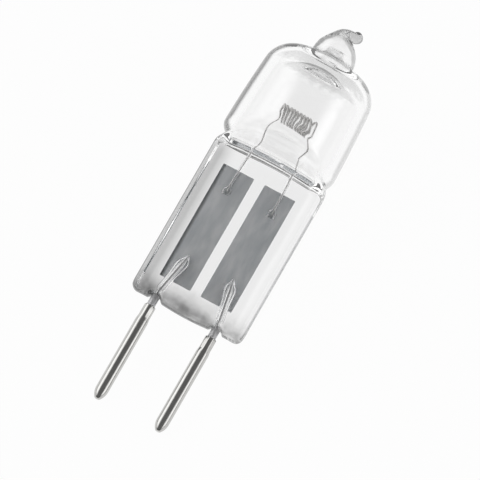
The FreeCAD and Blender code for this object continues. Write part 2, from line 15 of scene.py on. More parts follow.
import bmesh
import bpy
from mathutils import Matrix, Vector

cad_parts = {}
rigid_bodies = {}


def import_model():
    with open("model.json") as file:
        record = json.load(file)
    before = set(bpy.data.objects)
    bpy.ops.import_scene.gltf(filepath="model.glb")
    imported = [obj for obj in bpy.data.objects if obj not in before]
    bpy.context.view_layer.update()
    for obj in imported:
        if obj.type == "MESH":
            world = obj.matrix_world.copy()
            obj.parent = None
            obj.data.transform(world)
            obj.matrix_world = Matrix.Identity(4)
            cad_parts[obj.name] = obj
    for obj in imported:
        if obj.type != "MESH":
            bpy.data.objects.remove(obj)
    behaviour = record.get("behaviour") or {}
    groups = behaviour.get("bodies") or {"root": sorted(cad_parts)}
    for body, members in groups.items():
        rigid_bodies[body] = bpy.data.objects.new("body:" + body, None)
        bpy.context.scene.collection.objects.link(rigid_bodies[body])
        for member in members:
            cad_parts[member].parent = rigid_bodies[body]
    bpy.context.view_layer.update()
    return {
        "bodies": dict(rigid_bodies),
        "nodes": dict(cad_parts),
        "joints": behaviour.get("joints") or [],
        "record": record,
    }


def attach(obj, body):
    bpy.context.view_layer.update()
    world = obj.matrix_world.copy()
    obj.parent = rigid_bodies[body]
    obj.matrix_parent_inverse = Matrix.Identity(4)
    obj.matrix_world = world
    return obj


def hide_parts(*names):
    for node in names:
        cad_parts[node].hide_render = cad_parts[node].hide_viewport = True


LOG = logging.getLogger("halogen_capsule_bulb")
BODY = "root"
# Marks the outer skin of the glass with 1 and the spaces inside it with 0
OUTER_SKIN = "outer_skin"
# One millimetre in metres
MM = 0.001
# Points of a mesh that lie nearer than this are one point
MERGE = 1e-5
# How far the record's points on the pins lie from the pin ends
PIN_POINT = 4.75
# Points on each bend of a wire
BEND_STEPS = 8
Mesh = bmesh.types.BMesh
Socket = bpy.types.NodeSocket
PointAt = Callable[[int, float], Vector]
Span = tuple[float, float]


class Side(Enum):
    """The two sides of the lamp, as the sign of y in its own axes."""

    LEFT = 1
    RIGHT = -1

    @property
    def word(self) -> str:
        """The side's name as the nodes spell it."""
        return self.name.lower()


# Small sums
def blend(low: float, high: float, at: float) -> float:
    """Rise smoothly from 0 at low to 1 at high.

    Args:
        low: Where the rise starts.
        high: Where the rise ends.
        at: The place asked for.

    Returns:
        A share between 0 and 1.
    """
    share = min(1.0, max(0.0, (at - low) / (high - low)))
    return share * share * (3 - 2 * share)


def soft_least(first: float, second: float, round_off: float) -> float:
    """The smaller of two heights, with the corner between them rounded off.

    Args:
        first: One height.
        second: The other height.
        round_off: How near the two are when the rounding starts.

    Returns:
        A height a little under the smaller one where they meet.
    """
    near = max(0.0, round_off - abs(first - second)) / round_off
    return min(first, second) - near * near * round_off / 4


def row_share(row: int, rows: int) -> float:
    """How far along a closed skin a row lies, where both end rows share their neighbour's place."""
    return min(max(row - 1, 0), rows - 3) / (rows - 3)


def ring_point(along: float, radius: float, angle: float) -> Vector:
    """A point of a ring about the lamp's axis."""
    return Vector((along, radius * math.cos(angle), radius * math.sin(angle)))


def along_stations(stations: tuple[tuple[float, ...], ...], at: float) -> tuple[float, ...]:
    """Read a row of values from stations, on one smooth curve through them.

    Args:
        stations: Rows that start with their place and go on with their values.
        at: The place asked for.

    Returns:
        The values there.
    """
    last = len(stations) - 1
    low = max((n for n in range(last) if stations[n][0] <= at), default=0)
    before, start, end, after = (stations[min(max(low + n, 0), last)] for n in (-1, 0, 1, 2))
    span = end[0] - start[0]
    share = min(1.0, max(0.0, (at - start[0]) / span))
    values = []
    for column in range(1, len(start)):
        first = (end[column] - before[column]) / (end[0] - before[0]) * span
        second = (after[column] - start[column]) / (after[0] - start[0]) * span
        rise = end[column] - start[column]
        cubic = (first + second - 2 * rise) * share ** 3
        square = (3 * rise - 2 * first - second) * share ** 2
        values.append(start[column] + first * share + (cubic + square))
    return tuple(values)


def rounded_route(corners: list[Vector], radius: float) -> list[Vector]:
    """A route through corners with every inner corner bent to one radius.

    Args:
        corners: The corners, first and last included.
        radius: The bend's radius.

    Returns:
        The route's points in order.
    """
    route = [corners[0]]
    for before, corner, after in zip(corners, corners[1:], corners[2:]):
        into = (corner - before).normalized()
        out = (after - corner).normalized()
        half_turn = into.angle(out) / 2
        tangent = radius * math.tan(half_turn)
        middle = corner + (out - into).normalized() * (radius / math.cos(half_turn))
        start = corner - into * tangent - middle
        axis = into.cross(out).normalized()
        for step in range(BEND_STEPS + 1):
            bent = Matrix.Rotation(2 * half_turn * step / BEND_STEPS, 3, axis) @ start
            route.append(middle + bent)
    route.append(corners[-1])
    return route


def spread(route: list[Vector], spacing: float) -> list[Vector]:
    """The route with points added so that none lie further apart than spacing.

    Args:
        route: The route's points.
        spacing: The longest step wanted.

    Returns:
        The finer route.
    """
    fine = [route[0]]
    for start, end in zip(route, route[1:]):
        parts = max(1, math.ceil((end - start).length / spacing))
        fine += [start.lerp(end, part / parts) for part in range(1, parts + 1)]
    return fine


# The lamp's own axes
@dataclass(frozen=True)
class LampFrame:
    """The lamp's axes in the row: x from the pin ends to the exhaust tip, y to the left pin.

    The third axis, z, stands off the broad face of the pinch that looks up.
    """

    place: Matrix
    tilt: float

    @classmethod
    def from_record(cls, record: dict) -> LampFrame:
        """Work the axes out from the two pins that the record states.

        Args:
            record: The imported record.

        Returns:
            The frame, which takes millimetres of the lamp to metres of the row.
        """
        pins = {mount["name"]: mount for mount in record["mounts"]}
        left = Vector(pins["pin_left"]["pos_m"])
        right = Vector(pins["pin_right"]["pos_m"])
        along = -Vector(pins["pin_left"]["axis"]).normalized()
        across = (left - right).normalized()
        off = along.cross(across)
        origin = (left + right) / 2 - along * PIN_POINT * MM
        turn = Matrix((along, across, off)).transposed().to_4x4()
        place = Matrix.Translation(origin) @ turn @ Matrix.Scale(MM, 4)
        return cls(place, math.atan2(along.z, along.x))

    def point(self, x: float, y: float, z: float) -> Vector:
        """A point of the lamp, in metres of the row."""
        return self.place @ Vector((x, y, z))

    def way(self, x: float, y: float, z: float) -> Vector:
        """A direction of the lamp, in the row."""
        return (self.place.to_3x3() @ Vector((x, y, z))).normalized()


# Making meshes
def skin(segments: int, rows: int, point: PointAt) -> Mesh:
    """Extrude a circle row by row and set each row's points.

    Args:
        segments: Points in a row.
        rows: How many rows.
        point: Gives the place of the point at a row's number and an angle.

    Returns:
        The mesh, closed where an end row has no width, with its faces turned outwards.
    """
    mesh = bmesh.new()
    ring = list(bmesh.ops.create_circle(mesh, segments=segments, radius=1.0)["verts"])
    edges = list(mesh.edges)
    turn = 2 * math.pi / segments
    for row in range(rows):
        if row:
            made = bmesh.ops.extrude_edge_only(mesh, edges=edges)["geom"]
            fresh = {item for item in made if isinstance(item, bmesh.types.BMVert)}
            ring = [
                next(e.other_vert(v) for e in v.link_edges if e.other_vert(v) in fresh)
                for v in ring
            ]
            edges = [
                item for item in made
                if isinstance(item, bmesh.types.BMEdge) and set(item.verts) <= fresh
            ]
        for number, vert in enumerate(ring):
            vert.co = point(row, number * turn)
    bmesh.ops.remove_doubles(mesh, verts=mesh.verts, dist=MERGE)
    bmesh.ops.recalc_face_normals(mesh, faces=mesh.faces)
    return mesh


def hollow(segments: int, rows: int, point: PointAt) -> Mesh:
    """The closed skin of a space in the glass, its faces turned away from the glass.

    Args:
        segments: Points in a row.
        rows: How many rows.
        point: Gives the place of the point at a row's number and an angle.

    Returns:
        The skin.
    """
    mesh = skin(segments, rows, point)
    bmesh.ops.reverse_faces(mesh, faces=mesh.faces)
    return mesh


def stacked(zones: list[tuple[int, PointAt]]) -> tuple[int, PointAt]:
    """Put zones of rows one after the other.

    Args:
        zones: How many rows each zone has, and what gives the points of its own rows.

    Returns:
        How many rows there are in all, and what gives their points.
    """
    owners = [(point, row) for rows, point in zones for row in range(rows)]

    def joined(row: int, angle: float) -> Vector:
        """A point of the row's own zone."""
        point, own_row = owners[row]
        return point(own_row, angle)

    return len(owners), joined


def swept(route: list[Vector], radius: Callable[[int], float], segments: int) -> Mesh:
    """A round wire along a route, closed at both ends.

    Args:
        route: The wire's centre line.
        radius: Gives the radius at a point's number.
        segments: Sides of the wire.

    Returns:
        The wire's mesh.
    """
    count = len(route)
    ways = [
        (route[min(n + 1, count - 1)] - route[max(n - 1, 0)]).normalized() for n in range(count)
    ]
    sides = [ways[0].orthogonal().normalized()]
    for before, after in zip(ways, ways[1:]):
        sides.append((before.rotation_difference(after) @ sides[-1]).normalized())

    def point(row: int, angle: float) -> Vector:
        """A point of the wire, with a row of no width at each end.

        Args:
            row: The row's number.
            angle: The angle round the wire.

        Returns:
            The point.
        """
        number = min(max(row - 1, 0), count - 1)
        if row in (0, count + 1):
            return route[number].copy()
        across = ways[number].cross(sides[number])
        off = sides[number] * math.cos(angle) + across * math.sin(angle)
        return route[number] + off * radius(number)

    return skin(segments, count + 2, point)


def turned(profile: list[Span], steps: int) -> Mesh:
    """Spin a profile about the x axis.

    Args:
        profile: Corners as (along, radius), starting and ending on the axis.
        steps: Steps round the axis.

    Returns:
        The turned mesh.
    """
    mesh = bmesh.new()
    verts = [mesh.verts.new((along, radius, 0.0)) for along, radius in profile]
    edges = [mesh.edges.new(pair) for pair in zip(verts, verts[1:])]
    bmesh.ops.spin(
        mesh, geom=verts + edges, cent=(0, 0, 0), axis=(1, 0, 0), dvec=(0, 0, 0),
        angle=2 * math.pi, steps=steps, use_merge=True, use_duplicate=False,
    )
    bmesh.ops.remove_doubles(mesh, verts=mesh.verts, dist=MERGE)
    bmesh.ops.recalc_face_normals(mesh, faces=mesh.faces)
    return mesh


def finish_piece(
    name: str, mesh: Mesh, frame: LampFrame, material: bpy.types.Material,
    node: str, crease: float,
) -> None:
    """Set a finished mesh in the row, give it its finish and let it stand for its node.

    Args:
        name: The piece's name.
        mesh: The mesh, in millimetres of the lamp.
        frame: The lamp's axes.
        material: The finish.
        node: The node that the piece replaces.
        crease: Edges sharper than this angle, in degrees, stay sharp.
    """
    bmesh.ops.transform(mesh, matrix=frame.place, verts=mesh.verts)
    data = bpy.data.meshes.new(name)
    mesh.to_mesh(data)
    mesh.free()
    data.shade_smooth()
    data.set_sharp_from_angle(angle=math.radians(crease))
    data.materials.append(material)
    piece = bpy.data.objects.new(name, data)
    bpy.context.scene.collection.objects.link(piece)
    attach(piece, BODY)
    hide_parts(node)
    LOG.info("%s: %d faces", name, len(data.polygons))


# Finishes
@dataclass(frozen=True)
class Nodes:
    """Short calls for building a node tree."""

    tree: bpy.types.NodeTree

    def add(self, kind: str, **settings: object) -> bpy.types.Node:
        """A new node with its settings.

        Args:
            kind: The node's type.
            **settings: Its settings by name.

        Returns:
            The node.
        """
        node = self.tree.nodes.new(kind)
        for name, value in settings.items():
            setattr(node, name, value)
        return node

    def link(self, start: Socket, end: Socket) -> None:
        """Join two sockets."""
        self.tree.links.new(start, end)

    def feed(self, value: Socket | float | tuple[float, ...], end: Socket) -> None:
        """Give an input another socket's value, or one of its own.

        Args:
            value: A socket to join, or a plain number or colour.
            end: The input.
        """
        if isinstance(value, Socket):
            self.link(value, end)
        else:
            end.default_value = value

    def reckon(self, operation: str, first: Socket, second: Socket | float) -> Socket:
        """Work out one sum.

        Args:
            operation: The sum's name in a Math node.
            first: The first value.
            second: The second value.

        Returns:
            The socket that gives the result.
        """
        node = self.add("ShaderNodeMath", operation=operation)
        self.feed(first, node.inputs[0])
        self.feed(second, node.inputs[1])
        return node.outputs[0]

    def mix(
        self, share: Socket, first: Socket | float, second: Socket | float | tuple[float, ...],
        kind: str = "FLOAT",
    ) -> Socket:
        """Go over from one value or colour to another.

        Args:
            share: How much of the second shows.
            first: What comes out at a share of 0.
            second: What comes out at a share of 1.
            kind: FLOAT for values or RGBA for colours.

        Returns:
            The socket that gives the result.
        """
        node = self.add("ShaderNodeMix", data_type=kind)
        for name, value in (("Factor", share), ("A", first), ("B", second)):
            self.feed(value, node.inputs[name])
        return node.outputs["Result"]

    def ramp(
        self, start: Socket, span: Span, ends: Span = (0.0, 1.0), kind: str = "SMOOTHSTEP"
    ) -> Socket:
        """Take a value from one end to the other over a span.

        Args:
            start: The socket that gives the value.
            span: Where the change starts and ends.
            ends: What comes out before and after it.
            kind: SMOOTHSTEP for an eased change or LINEAR for an even one.

        Returns:
            The socket that gives the result.
        """
        node = self.add("ShaderNodeMapRange", interpolation_type=kind)
        for name, value in zip(("From Min", "From Max", "To Min", "To Max"), span + ends):
            node.inputs[name].default_value = value
        self.link(start, node.inputs["Value"])
        return node.outputs["Result"]

    def tones(self, start: Socket, stops: Iterable[tuple[float, tuple[float, ...]]]) -> Socket:
        """Turn a value between 0 and 1 into a colour.

        Args:
            start: The socket that gives the value.
            stops: Places in rising order, and the colour at each.

        Returns:
            The socket that gives the colour.
        """
        node = self.add("ShaderNodeValToRGB")
        elements = node.color_ramp.elements
        for number, (spot, colour) in enumerate(stops):
            stop = elements[number] if number < 2 else elements.new(spot)
            stop.position = spot
            stop.color = colour
        self.link(start, node.inputs["Fac"])
        return node.outputs["Color"]

    def parts(self, vector: Socket) -> bpy.types.NodeOutputs:
        """The outputs X, Y and Z of a vector.

        Args:
            vector: The socket that gives it.

        Returns:
            The outputs.
        """
        node = self.add("ShaderNodeSeparateXYZ")
        self.link(vector, node.inputs[0])
        return node.outputs

    def toward(self, vector: Socket, way: Vector) -> Socket:
        """How far a vector reaches along a direction.

        Args:
            vector: The socket that gives the vector.
            way: The direction.

        Returns:
            The socket that gives the reach.
        """
        node = self.add("ShaderNodeVectorMath", operation="DOT_PRODUCT")
        node.inputs[1].default_value = way
        self.link(vector, node.inputs[0])
        return node.outputs["Value"]

    def raise_lines(self, lines: Socket, relief: float, shader: bpy.types.Node) -> None:
        """Let lines stand up a little on a surface.

        Args:
            lines: The socket that gives their height between 0 and 1.
            relief: Their real height in millimetres.
            shader: The surface's shader.
        """
        bump = self.add("ShaderNodeBump")
        bump.inputs["Strength"].default_value = 1.0
        bump.inputs["Distance"].default_value = relief * MM
        self.link(lines, bump.inputs["Height"])
        self.link(bump.outputs["Normal"], shader.inputs["Normal"])

    def show(self, share: Socket, first: bpy.types.Node, second: bpy.types.Node) -> None:
        """Make a mix of two shaders the material's surface.

        Args:
            share: How much of the second shows.
            first: One shader.
            second: The other shader.
        """
        mix = self.add("ShaderNodeMixShader")
        self.link(share, mix.inputs["Fac"])
        self.link(first.outputs[0], mix.inputs[1])
        self.link(second.outputs[0], mix.inputs[2])
        self.link(mix.outputs[0], self.tree.nodes["Material Output"].inputs["Surface"])


def new_group(name: str, inputs: dict[str, float], output: str) -> bpy.types.NodeTree:
    """An empty shader group with its sockets.

    Args:
        name: The group's name.
        inputs: Names of plain number inputs and their values.
        output: The name of its one output, a number.

    Returns:
        The group, with a Place input for the coordinates.
    """
    group = bpy.data.node_groups.new(name, "ShaderNodeTree")
    group.interface.new_socket("Place", in_out="INPUT", socket_type="NodeSocketVector")
    for word, value in inputs.items():
        socket = group.interface.new_socket(word, in_out="INPUT", socket_type="NodeSocketFloat")
        socket.default_value = value
    group.interface.new_socket(output, in_out="OUTPUT", socket_type="NodeSocketFloat")
    return group


@dataclass(frozen=True)
class DrawnLines:
    """Fine lines along the lamp's axis, as drawing and rolling leave them."""

    along: float = 0.35
    detail: float = 5.0
    roughness: float = 0.6

    def build(self) -> bpy.types.NodeTree:
        """Make the group.

        Returns:
            A group whose output Lines runs from 0 to 1.
        """
        group = new_group("drawn_lines", {"Fineness": 6.0}, "Lines")
        nodes = Nodes(group)
        given = nodes.add("NodeGroupInput")
        result = nodes.add("NodeGroupOutput")
        stretch = nodes.add("ShaderNodeVectorMath", operation="MULTIPLY")
        stretch.inputs[1].default_value = (self.along, 1.0, 1.0)
        noise = nodes.add("ShaderNodeTexNoise")
        noise.inputs["Detail"].default_value = self.detail
        noise.inputs["Roughness"].default_value = self.roughness
        nodes.link(given.outputs["Place"], stretch.inputs[0])
        nodes.link(stretch.outputs[0], noise.inputs["Vector"])
        nodes.link(given.outputs["Fineness"], noise.inputs["Scale"])
        nodes.link(noise.outputs["Fac"], result.inputs["Lines"])
        return group


@dataclass(frozen=True)
class Smudges:
    """Faint cloudy patches, as handling and heat leave them."""

    detail: float = 3.0
    reach: Span = (0.35, 0.65)

    def build(self) -> bpy.types.NodeTree:
        """Make the group.

        Returns:
            A group whose output Amount runs from Least to Most.
        """
        group = new_group("smudges", {"Scale": 1.0, "Least": 0.1, "Most": 0.3}, "Amount")
        nodes = Nodes(group)
        given = nodes.add("NodeGroupInput")
        result = nodes.add("NodeGroupOutput")
        noise = nodes.add("ShaderNodeTexNoise")
        noise.inputs["Detail"].default_value = self.detail
        spread_out = nodes.add("ShaderNodeMapRange")
        spread_out.inputs["From Min"].default_value = self.reach[0]
        spread_out.inputs["From Max"].default_value = self.reach[1]
        nodes.link(given.outputs["Place"], noise.inputs["Vector"])
        nodes.link(given.outputs["Scale"], noise.inputs["Scale"])
        nodes.link(noise.outputs["Fac"], spread_out.inputs["Value"])
        nodes.link(given.outputs["Least"], spread_out.inputs["To Min"])
        nodes.link(given.outputs["Most"], spread_out.inputs["To Max"])
        nodes.link(spread_out.outputs["Result"], result.inputs["Amount"])
        return group


@dataclass(frozen=True)
class Effects:
    """The groups that more than one finish uses, and the lamp's axes for their coordinates."""

    lines: bpy.types.NodeTree
    smudges: bpy.types.NodeTree
    frame: LampFrame

    def place(self, nodes: Nodes) -> Socket:
        """Coordinates along the lamp's own axes, in millimetres.

        Args:
            nodes: The material's nodes.

        Returns:
            The socket that gives them.
        """
        given = nodes.add("ShaderNodeTexCoord")
        mapping = nodes.add("ShaderNodeMapping")
        turn = Matrix.Rotation(self.frame.tilt, 3, "Y")
        mapping.inputs["Location"].default_value = (
            turn @ self.frame.place.translation * (-1 / MM)
        )
        mapping.inputs["Rotation"].default_value = (0.0, self.frame.tilt, 0.0)
        mapping.inputs["Scale"].default_value = (1 / MM, 1 / MM, 1 / MM)
        nodes.link(given.outputs["Object"], mapping.inputs["Vector"])
        return mapping.outputs["Vector"]

    def axes(self, nodes: Nodes) -> bpy.types.NodeOutputs:
        """The place along each of the lamp's axes."""
        return nodes.parts(self.place(nodes))

    def use(self, nodes: Nodes, group: bpy.types.NodeTree, **values: float) -> Socket:
        """Put a group into a material.

        Args:
            nodes: The material's nodes.
            group: The group to use.
            **values: The group's inputs by name.

        Returns:
            The socket that gives its result.
        """
        node = nodes.add("ShaderNodeGroup", node_tree=group)
        for name, value in values.items():
            node.inputs[name].default_value = value
        nodes.link(self.place(nodes), node.inputs["Place"])
        return node.outputs[0]


def new_material(name: str) -> tuple[bpy.types.Material, Nodes, bpy.types.Node]:
    """A material with one Principled shader.

    Args:
        name: The material's name.

    Returns:
        The material, its nodes and the shader.
    """
    material = bpy.data.materials.new(name)
    material.use_nodes = True
    return material, Nodes(material.node_tree), material.node_tree.nodes["Principled BSDF"]


@dataclass(frozen=True)
class Metal:
    """A bare or plated metal with lines along the lamp and patches of duller surface.

    It may be shaded over a span across the lamp and smooth over a span along it.
    """

    name: str
    light: tuple[float, float, float]
    dark: tuple[float, float, float]
    roughness: Span
    fineness: float
    relief: float
    metallic: float = 1.0
    patch: float = 0.8
    line_reach: Span = (0.35, 0.65)
    shaded: Span | None = None
    shaded_tone: float = 0.4
    polished: Span | None = None
    polished_roughness: float = 0.15
    polished_colour: tuple[float, float, float, float] = (0.98, 0.98, 0.985, 1.0)

    def build(self, effects: Effects) -> bpy.types.Material:
        """Make the material.

        Args:
            effects: The shared groups.

        Returns:
            The material.
        """
        material, nodes, shader = new_material(self.name)
        shader.inputs["Metallic"].default_value = self.metallic
        lines = effects.use(nodes, effects.lines, Fineness=self.fineness)
        colour = nodes.tones(
            lines, zip(self.line_reach, ((*self.dark, 1.0), (*self.light, 1.0)))
        )
        least, most = self.roughness
        roughness = effects.use(nodes, effects.smudges, Scale=self.patch, Least=least, Most=most)
        if self.shaded:
            shadow = (*(self.shaded_tone * tone for tone in self.dark), 1.0)
            reached = nodes.ramp(effects.axes(nodes)["Y"], self.shaded)
            colour = nodes.mix(reached, colour, shadow, "RGBA")
        if self.polished:
            reached = nodes.ramp(effects.axes(nodes)["X"], self.polished)
            colour = nodes.mix(reached, colour, self.polished_colour, "RGBA")
            roughness = nodes.mix(reached, roughness, self.polished_roughness)
        nodes.link(colour, shader.inputs["Base Color"])
        nodes.link(roughness, shader.inputs["Roughness"])
        nodes.raise_lines(lines, self.relief, shader)
        return material


@dataclass(frozen=True)
class Quartz:
    """Clear fused quartz with painted shade where seen edge on, over the pinch where the press held
    it and round the dome's crown, and darker toward the nib.
    """

    name: str = "clear_quartz"
    clear: float = 0.96
    # painted shade: the outer skin darkens where seen edge on, more toward the tip and far more on
    # the left side than the right
    edge_left: float = 0.05
    edge_right: float = 0.45
    edge_span: Span = (-4.0, 4.0)
    edge_reach: Span = (0.55, 0.68)
    tip_edge: float = 0.2
    tip_start: Span = (38.5, 39.0)
    # painted shade in a band where the dome meets the exhaust tip; darker toward the nib
    shades: tuple[Span, ...] = (
        # place along the lamp, share of colour left by the painted shade
        (36.9, 1.0),
        (37.7, 0.6),
        (38.3, 0.6),
        (38.9, 1.0),
        (40.0, 0.95),
        (41.2, 0.6),
    )
    shade_span: Span = (36.0, 42.0)
    shade_patch: float = 1.3
    shade_waver: float = 0.35
    # painted shade over the pinch, darkest at its free end and on its left side
    pinch_shade_end: float = 0.13
    pinch_shade_top: float = 0.84
    pinch_shade_reach: Span = (10.2, 14.4)
    pinch_shade_round: Span = (10.4, 11.8)
    pinch_shade_left: float = 0.38
    pinch_shade_side: Span = (3.2, 5.0)
    pinch_shade_fade: Span = (26.0, 28.5)
    pinch_shade_upper: Span = (-0.2, 0.2)
    pinch_shade_patch: float = 0.35
    pinch_shade_waver: float = 0.6
    ior: float = 1.458
    relief: float = 0.0012
    fineness: float = 1.1
    most_mirrors: int = 3

    def wavering(self, effects: Effects, nodes: Nodes, patch: float, waver: float) -> Socket:
        """The place along the lamp, moved to and fro in patches.

        Args:
            effects: The shared groups.
            nodes: The material's nodes.
            patch: How close together the patches are.
            waver: How far the place moves, in millimetres.

        Returns:
            The socket that gives it.
        """
        moved = effects.use(nodes, effects.smudges, Scale=patch, Least=-waver, Most=waver)
        return nodes.reckon("ADD", effects.axes(nodes)["X"], moved)

    def pinch_shade(self, effects: Effects, nodes: Nodes) -> Socket:
        """Painted shade over the pinch: least light at its free end and on its left side, and on its
        upper face only near the end.

        Args:
            effects: The shared groups.
            nodes: The material's nodes.

        Returns:
            The socket that gives it.
        """
        axes = effects.axes(nodes)
        along = self.wavering(effects, nodes, self.pinch_shade_patch, self.pinch_shade_waver)
        ended = nodes.ramp(along, self.pinch_shade_reach, (self.pinch_shade_end, self.pinch_shade_top))
        sided = nodes.ramp(axes["Y"], self.pinch_shade_side, (1.0, self.pinch_shade_left))
        # painted shade, darker toward the free end and on the left side
        pressed = nodes.reckon("MULTIPLY", ended, sided)
        above = nodes.ramp(axes["Z"], self.pinch_shade_upper)
        upper = nodes.reckon("MULTIPLY", above, nodes.ramp(along, self.pinch_shade_round))
        bare = nodes.reckon("MAXIMUM", nodes.ramp(axes["X"], self.pinch_shade_fade), upper)
        return nodes.mix(bare, pressed, self.clear)

    def shade(self, effects: Effects, nodes: Nodes) -> Socket:
        """Painted shade in a band where the dome meets the exhaust tip, and darker toward the nib.

        Args:
            effects: The shared groups.
            nodes: The material's nodes.

        Returns:
            The socket that gives it.
        """
        start, end = self.shade_span
        along = self.wavering(effects, nodes, self.shade_patch, self.shade_waver)
        place = nodes.ramp(along, self.shade_span, kind="LINEAR")
        return nodes.tones(
            place,
            (((x - start) / (end - start), (level, level, level, 1.0)) for x, level in self.shades),
        )

    def edge(self, effects: Effects, nodes: Nodes) -> Socket:
        """Painted shade where the glass's outer skin is seen edge on: darker toward the tip, and far
        darker on the left side than the right.

        Args:
            effects: The shared groups.
            nodes: The material's nodes.

        Returns:
            The socket that gives it.
        """
        axes = effects.axes(nodes)
        facing = nodes.add("ShaderNodeLayerWeight").outputs["Facing"]
        outer = nodes.add("ShaderNodeAttribute", attribute_name=OUTER_SKIN).outputs["Fac"]
        tip = nodes.ramp(axes["X"], self.tip_start, (0.0, self.tip_edge))
        aslant = nodes.ramp(nodes.reckon("ADD", facing, tip), self.edge_reach)
        least = nodes.ramp(axes["Y"], self.edge_span, (self.edge_right, self.edge_left))
        return nodes.mix(nodes.reckon("MULTIPLY", aslant, outer), 1.0, least)

    def build(self, effects: Effects) -> bpy.types.Material:
        """Make the material.

        Light that has been mirrored inside the glass more than a few times is let out.

        Args:
            effects: The shared groups.

        Returns:
            The material.
        """
        material, nodes, shader = new_material(self.name)
        shader.inputs["Metallic"].default_value = 0.0
        shader.inputs["Transmission Weight"].default_value = 1.0
        shader.inputs["IOR"].default_value = self.ior
        shader.inputs["Roughness"].default_value = 0.0
        # the base colour is the clear tint times the painted shade of the pinch, of the edges seen
        # edge on and of the dome's crown
        tint_and_painted_shade = nodes.reckon("MULTIPLY", self.pinch_shade(effects, nodes), self.edge(effects, nodes))
        tint_and_all_painted_shade = nodes.reckon("MULTIPLY", tint_and_painted_shade, self.shade(effects, nodes))
        nodes.link(tint_and_all_painted_shade, shader.inputs["Base Color"])
        lines = effects.use(nodes, effects.lines, Fineness=self.fineness)
        nodes.raise_lines(lines, self.relief, shader)
        mirrored = nodes.add("ShaderNodeLightPath").outputs["Glossy Depth"]
        spent = nodes.reckon("GREATER_THAN", mirrored, self.most_mirrors - 0.5)
        nodes.show(spent, shader, nodes.add("ShaderNodeBsdfTransparent"))
        return material


PLATED_PIN = Metal(
    "plated_pin", (0.60, 0.595, 0.58), (0.52, 0.515, 0.50), (0.10, 0.20), 7.0, 0.0015
)
LEAD_WIRE = Metal(
    "lead_wire", (0.86, 0.86, 0.87), (0.70, 0.70, 0.71), (0.45, 0.6), 9.0, 0.004,
    metallic=0.6, polished=(10.8, 11.6),
)
TUNGSTEN = Metal(
    "tungsten_wire", (0.93, 0.92, 0.91), (0.80, 0.79, 0.78), (0.3, 0.45), 8.0, 0.003,
    metallic=0.7,
)
# painted shade darkens the left foil's outer edge over the span shaded
FOIL = Metal(
    "rolled_foil", (0.97, 0.985, 1.0), (0.74, 0.775, 0.80), (0.7, 0.9), 0.9, 0.004,
    metallic=0.15, shaded=(3.45, 3.75),
)


# Metal parts
@dataclass
class Pins:
    """The two plated sleeves, closed and rounded at their ends and crimped on the leads."""

    frame: LampFrame
    spacing: float = 6.35
    diameter: float = 1.25
    nose_length: float = 1.05
    nose_flat: float = 0.45
    nose_edge: float = 0.05
    shank_end: float = 8.45
    crimp_start: float = 8.8
    crimp_rows: Span = (0.3, 0.6)
    crimp_turns: Span = (33.0, 57.0)
    mouth: float = 10.05
    crimp_diameter: float = 1.12
    crimp_flats: float = 1.05
    crimp_round: float = 0.05
    lead_diameter: float = 0.8
    nose_steps: int = 14
    turn_steps: int = 72
    crease: float = 34.0

    def profile(self) -> list[Span]:
        """The sleeve's half outline, from its nose to the lead at its mouth.

        Returns:
            Corners as (along, radius).
        """
        flat = self.nose_flat / 2
        radius = self.diameter / 2
        rise = radius - flat
        ogive = (self.nose_length ** 2 + rise ** 2) / (2 * rise)
        corners = [(0.0, 0.0), (0.0, flat - self.nose_edge)]
        for step in range(self.nose_steps + 1):
            along = self.nose_length * step / self.nose_steps
            back = self.nose_length - along
            level = radius - ogive + math.sqrt(ogive ** 2 - back ** 2)
            corners.append((max(along, self.nose_edge / 3), level))
        crimp = self.crimp_diameter / 2
        edge = self.crimp_round
        run = self.mouth - self.crimp_start
        return corners + [
            (self.shank_end - edge, radius),
            (self.shank_end + edge, radius - edge / 3),
            (self.crimp_start - edge, crimp + edge / 3),
            (self.crimp_start + edge, crimp),
            *((self.crimp_start + share * run, crimp) for share in self.crimp_rows),
            (self.mouth - edge, crimp),
            (self.mouth, crimp - edge),
            (self.mouth, self.lead_diameter / 2),
            (self.mouth - self.nose_length, self.lead_diameter / 2),
            (self.mouth - self.nose_length, 0.0),
        ]

    def flatten(self, mesh: Mesh) -> None:
        """Press the crimp's four flats, each with a slanted start.

        Args:
            mesh: The turned sleeve.
        """
        for vert in mesh.verts:
            x, y, z = vert.co
            if x < self.shank_end or math.hypot(y, z) < self.lead_diameter / 2 + MERGE:
                continue
            depth = blend(self.shank_end, self.crimp_start + self.crimp_round, x)
            limit = self.diameter / 2 + (self.crimp_flats / 2 - self.diameter / 2) * depth
            vert.co.y = max(-limit, min(limit, y))
            vert.co.z = max(-limit, min(limit, z))

    def build(self, material: bpy.types.Material) -> None:
        """Make both sleeves.

        Args:
            material: The plate's finish.
        """
        for side, angle in zip(Side, self.crimp_turns):
            mesh = turned(self.profile(), self.turn_steps)
            self.flatten(mesh)
            turn = Matrix.Rotation(math.radians(angle), 4, "X")
            move = Matrix.Translation((0, side.value * self.spacing / 2, 0))
            bmesh.ops.transform(mesh, matrix=move @ turn, verts=mesh.verts)
            name = f"Pin_sleeve_{side.word}"
            node = f"pin_sleeve_{side.word}"
            finish_piece(name, mesh, self.frame, material, node, self.crease)


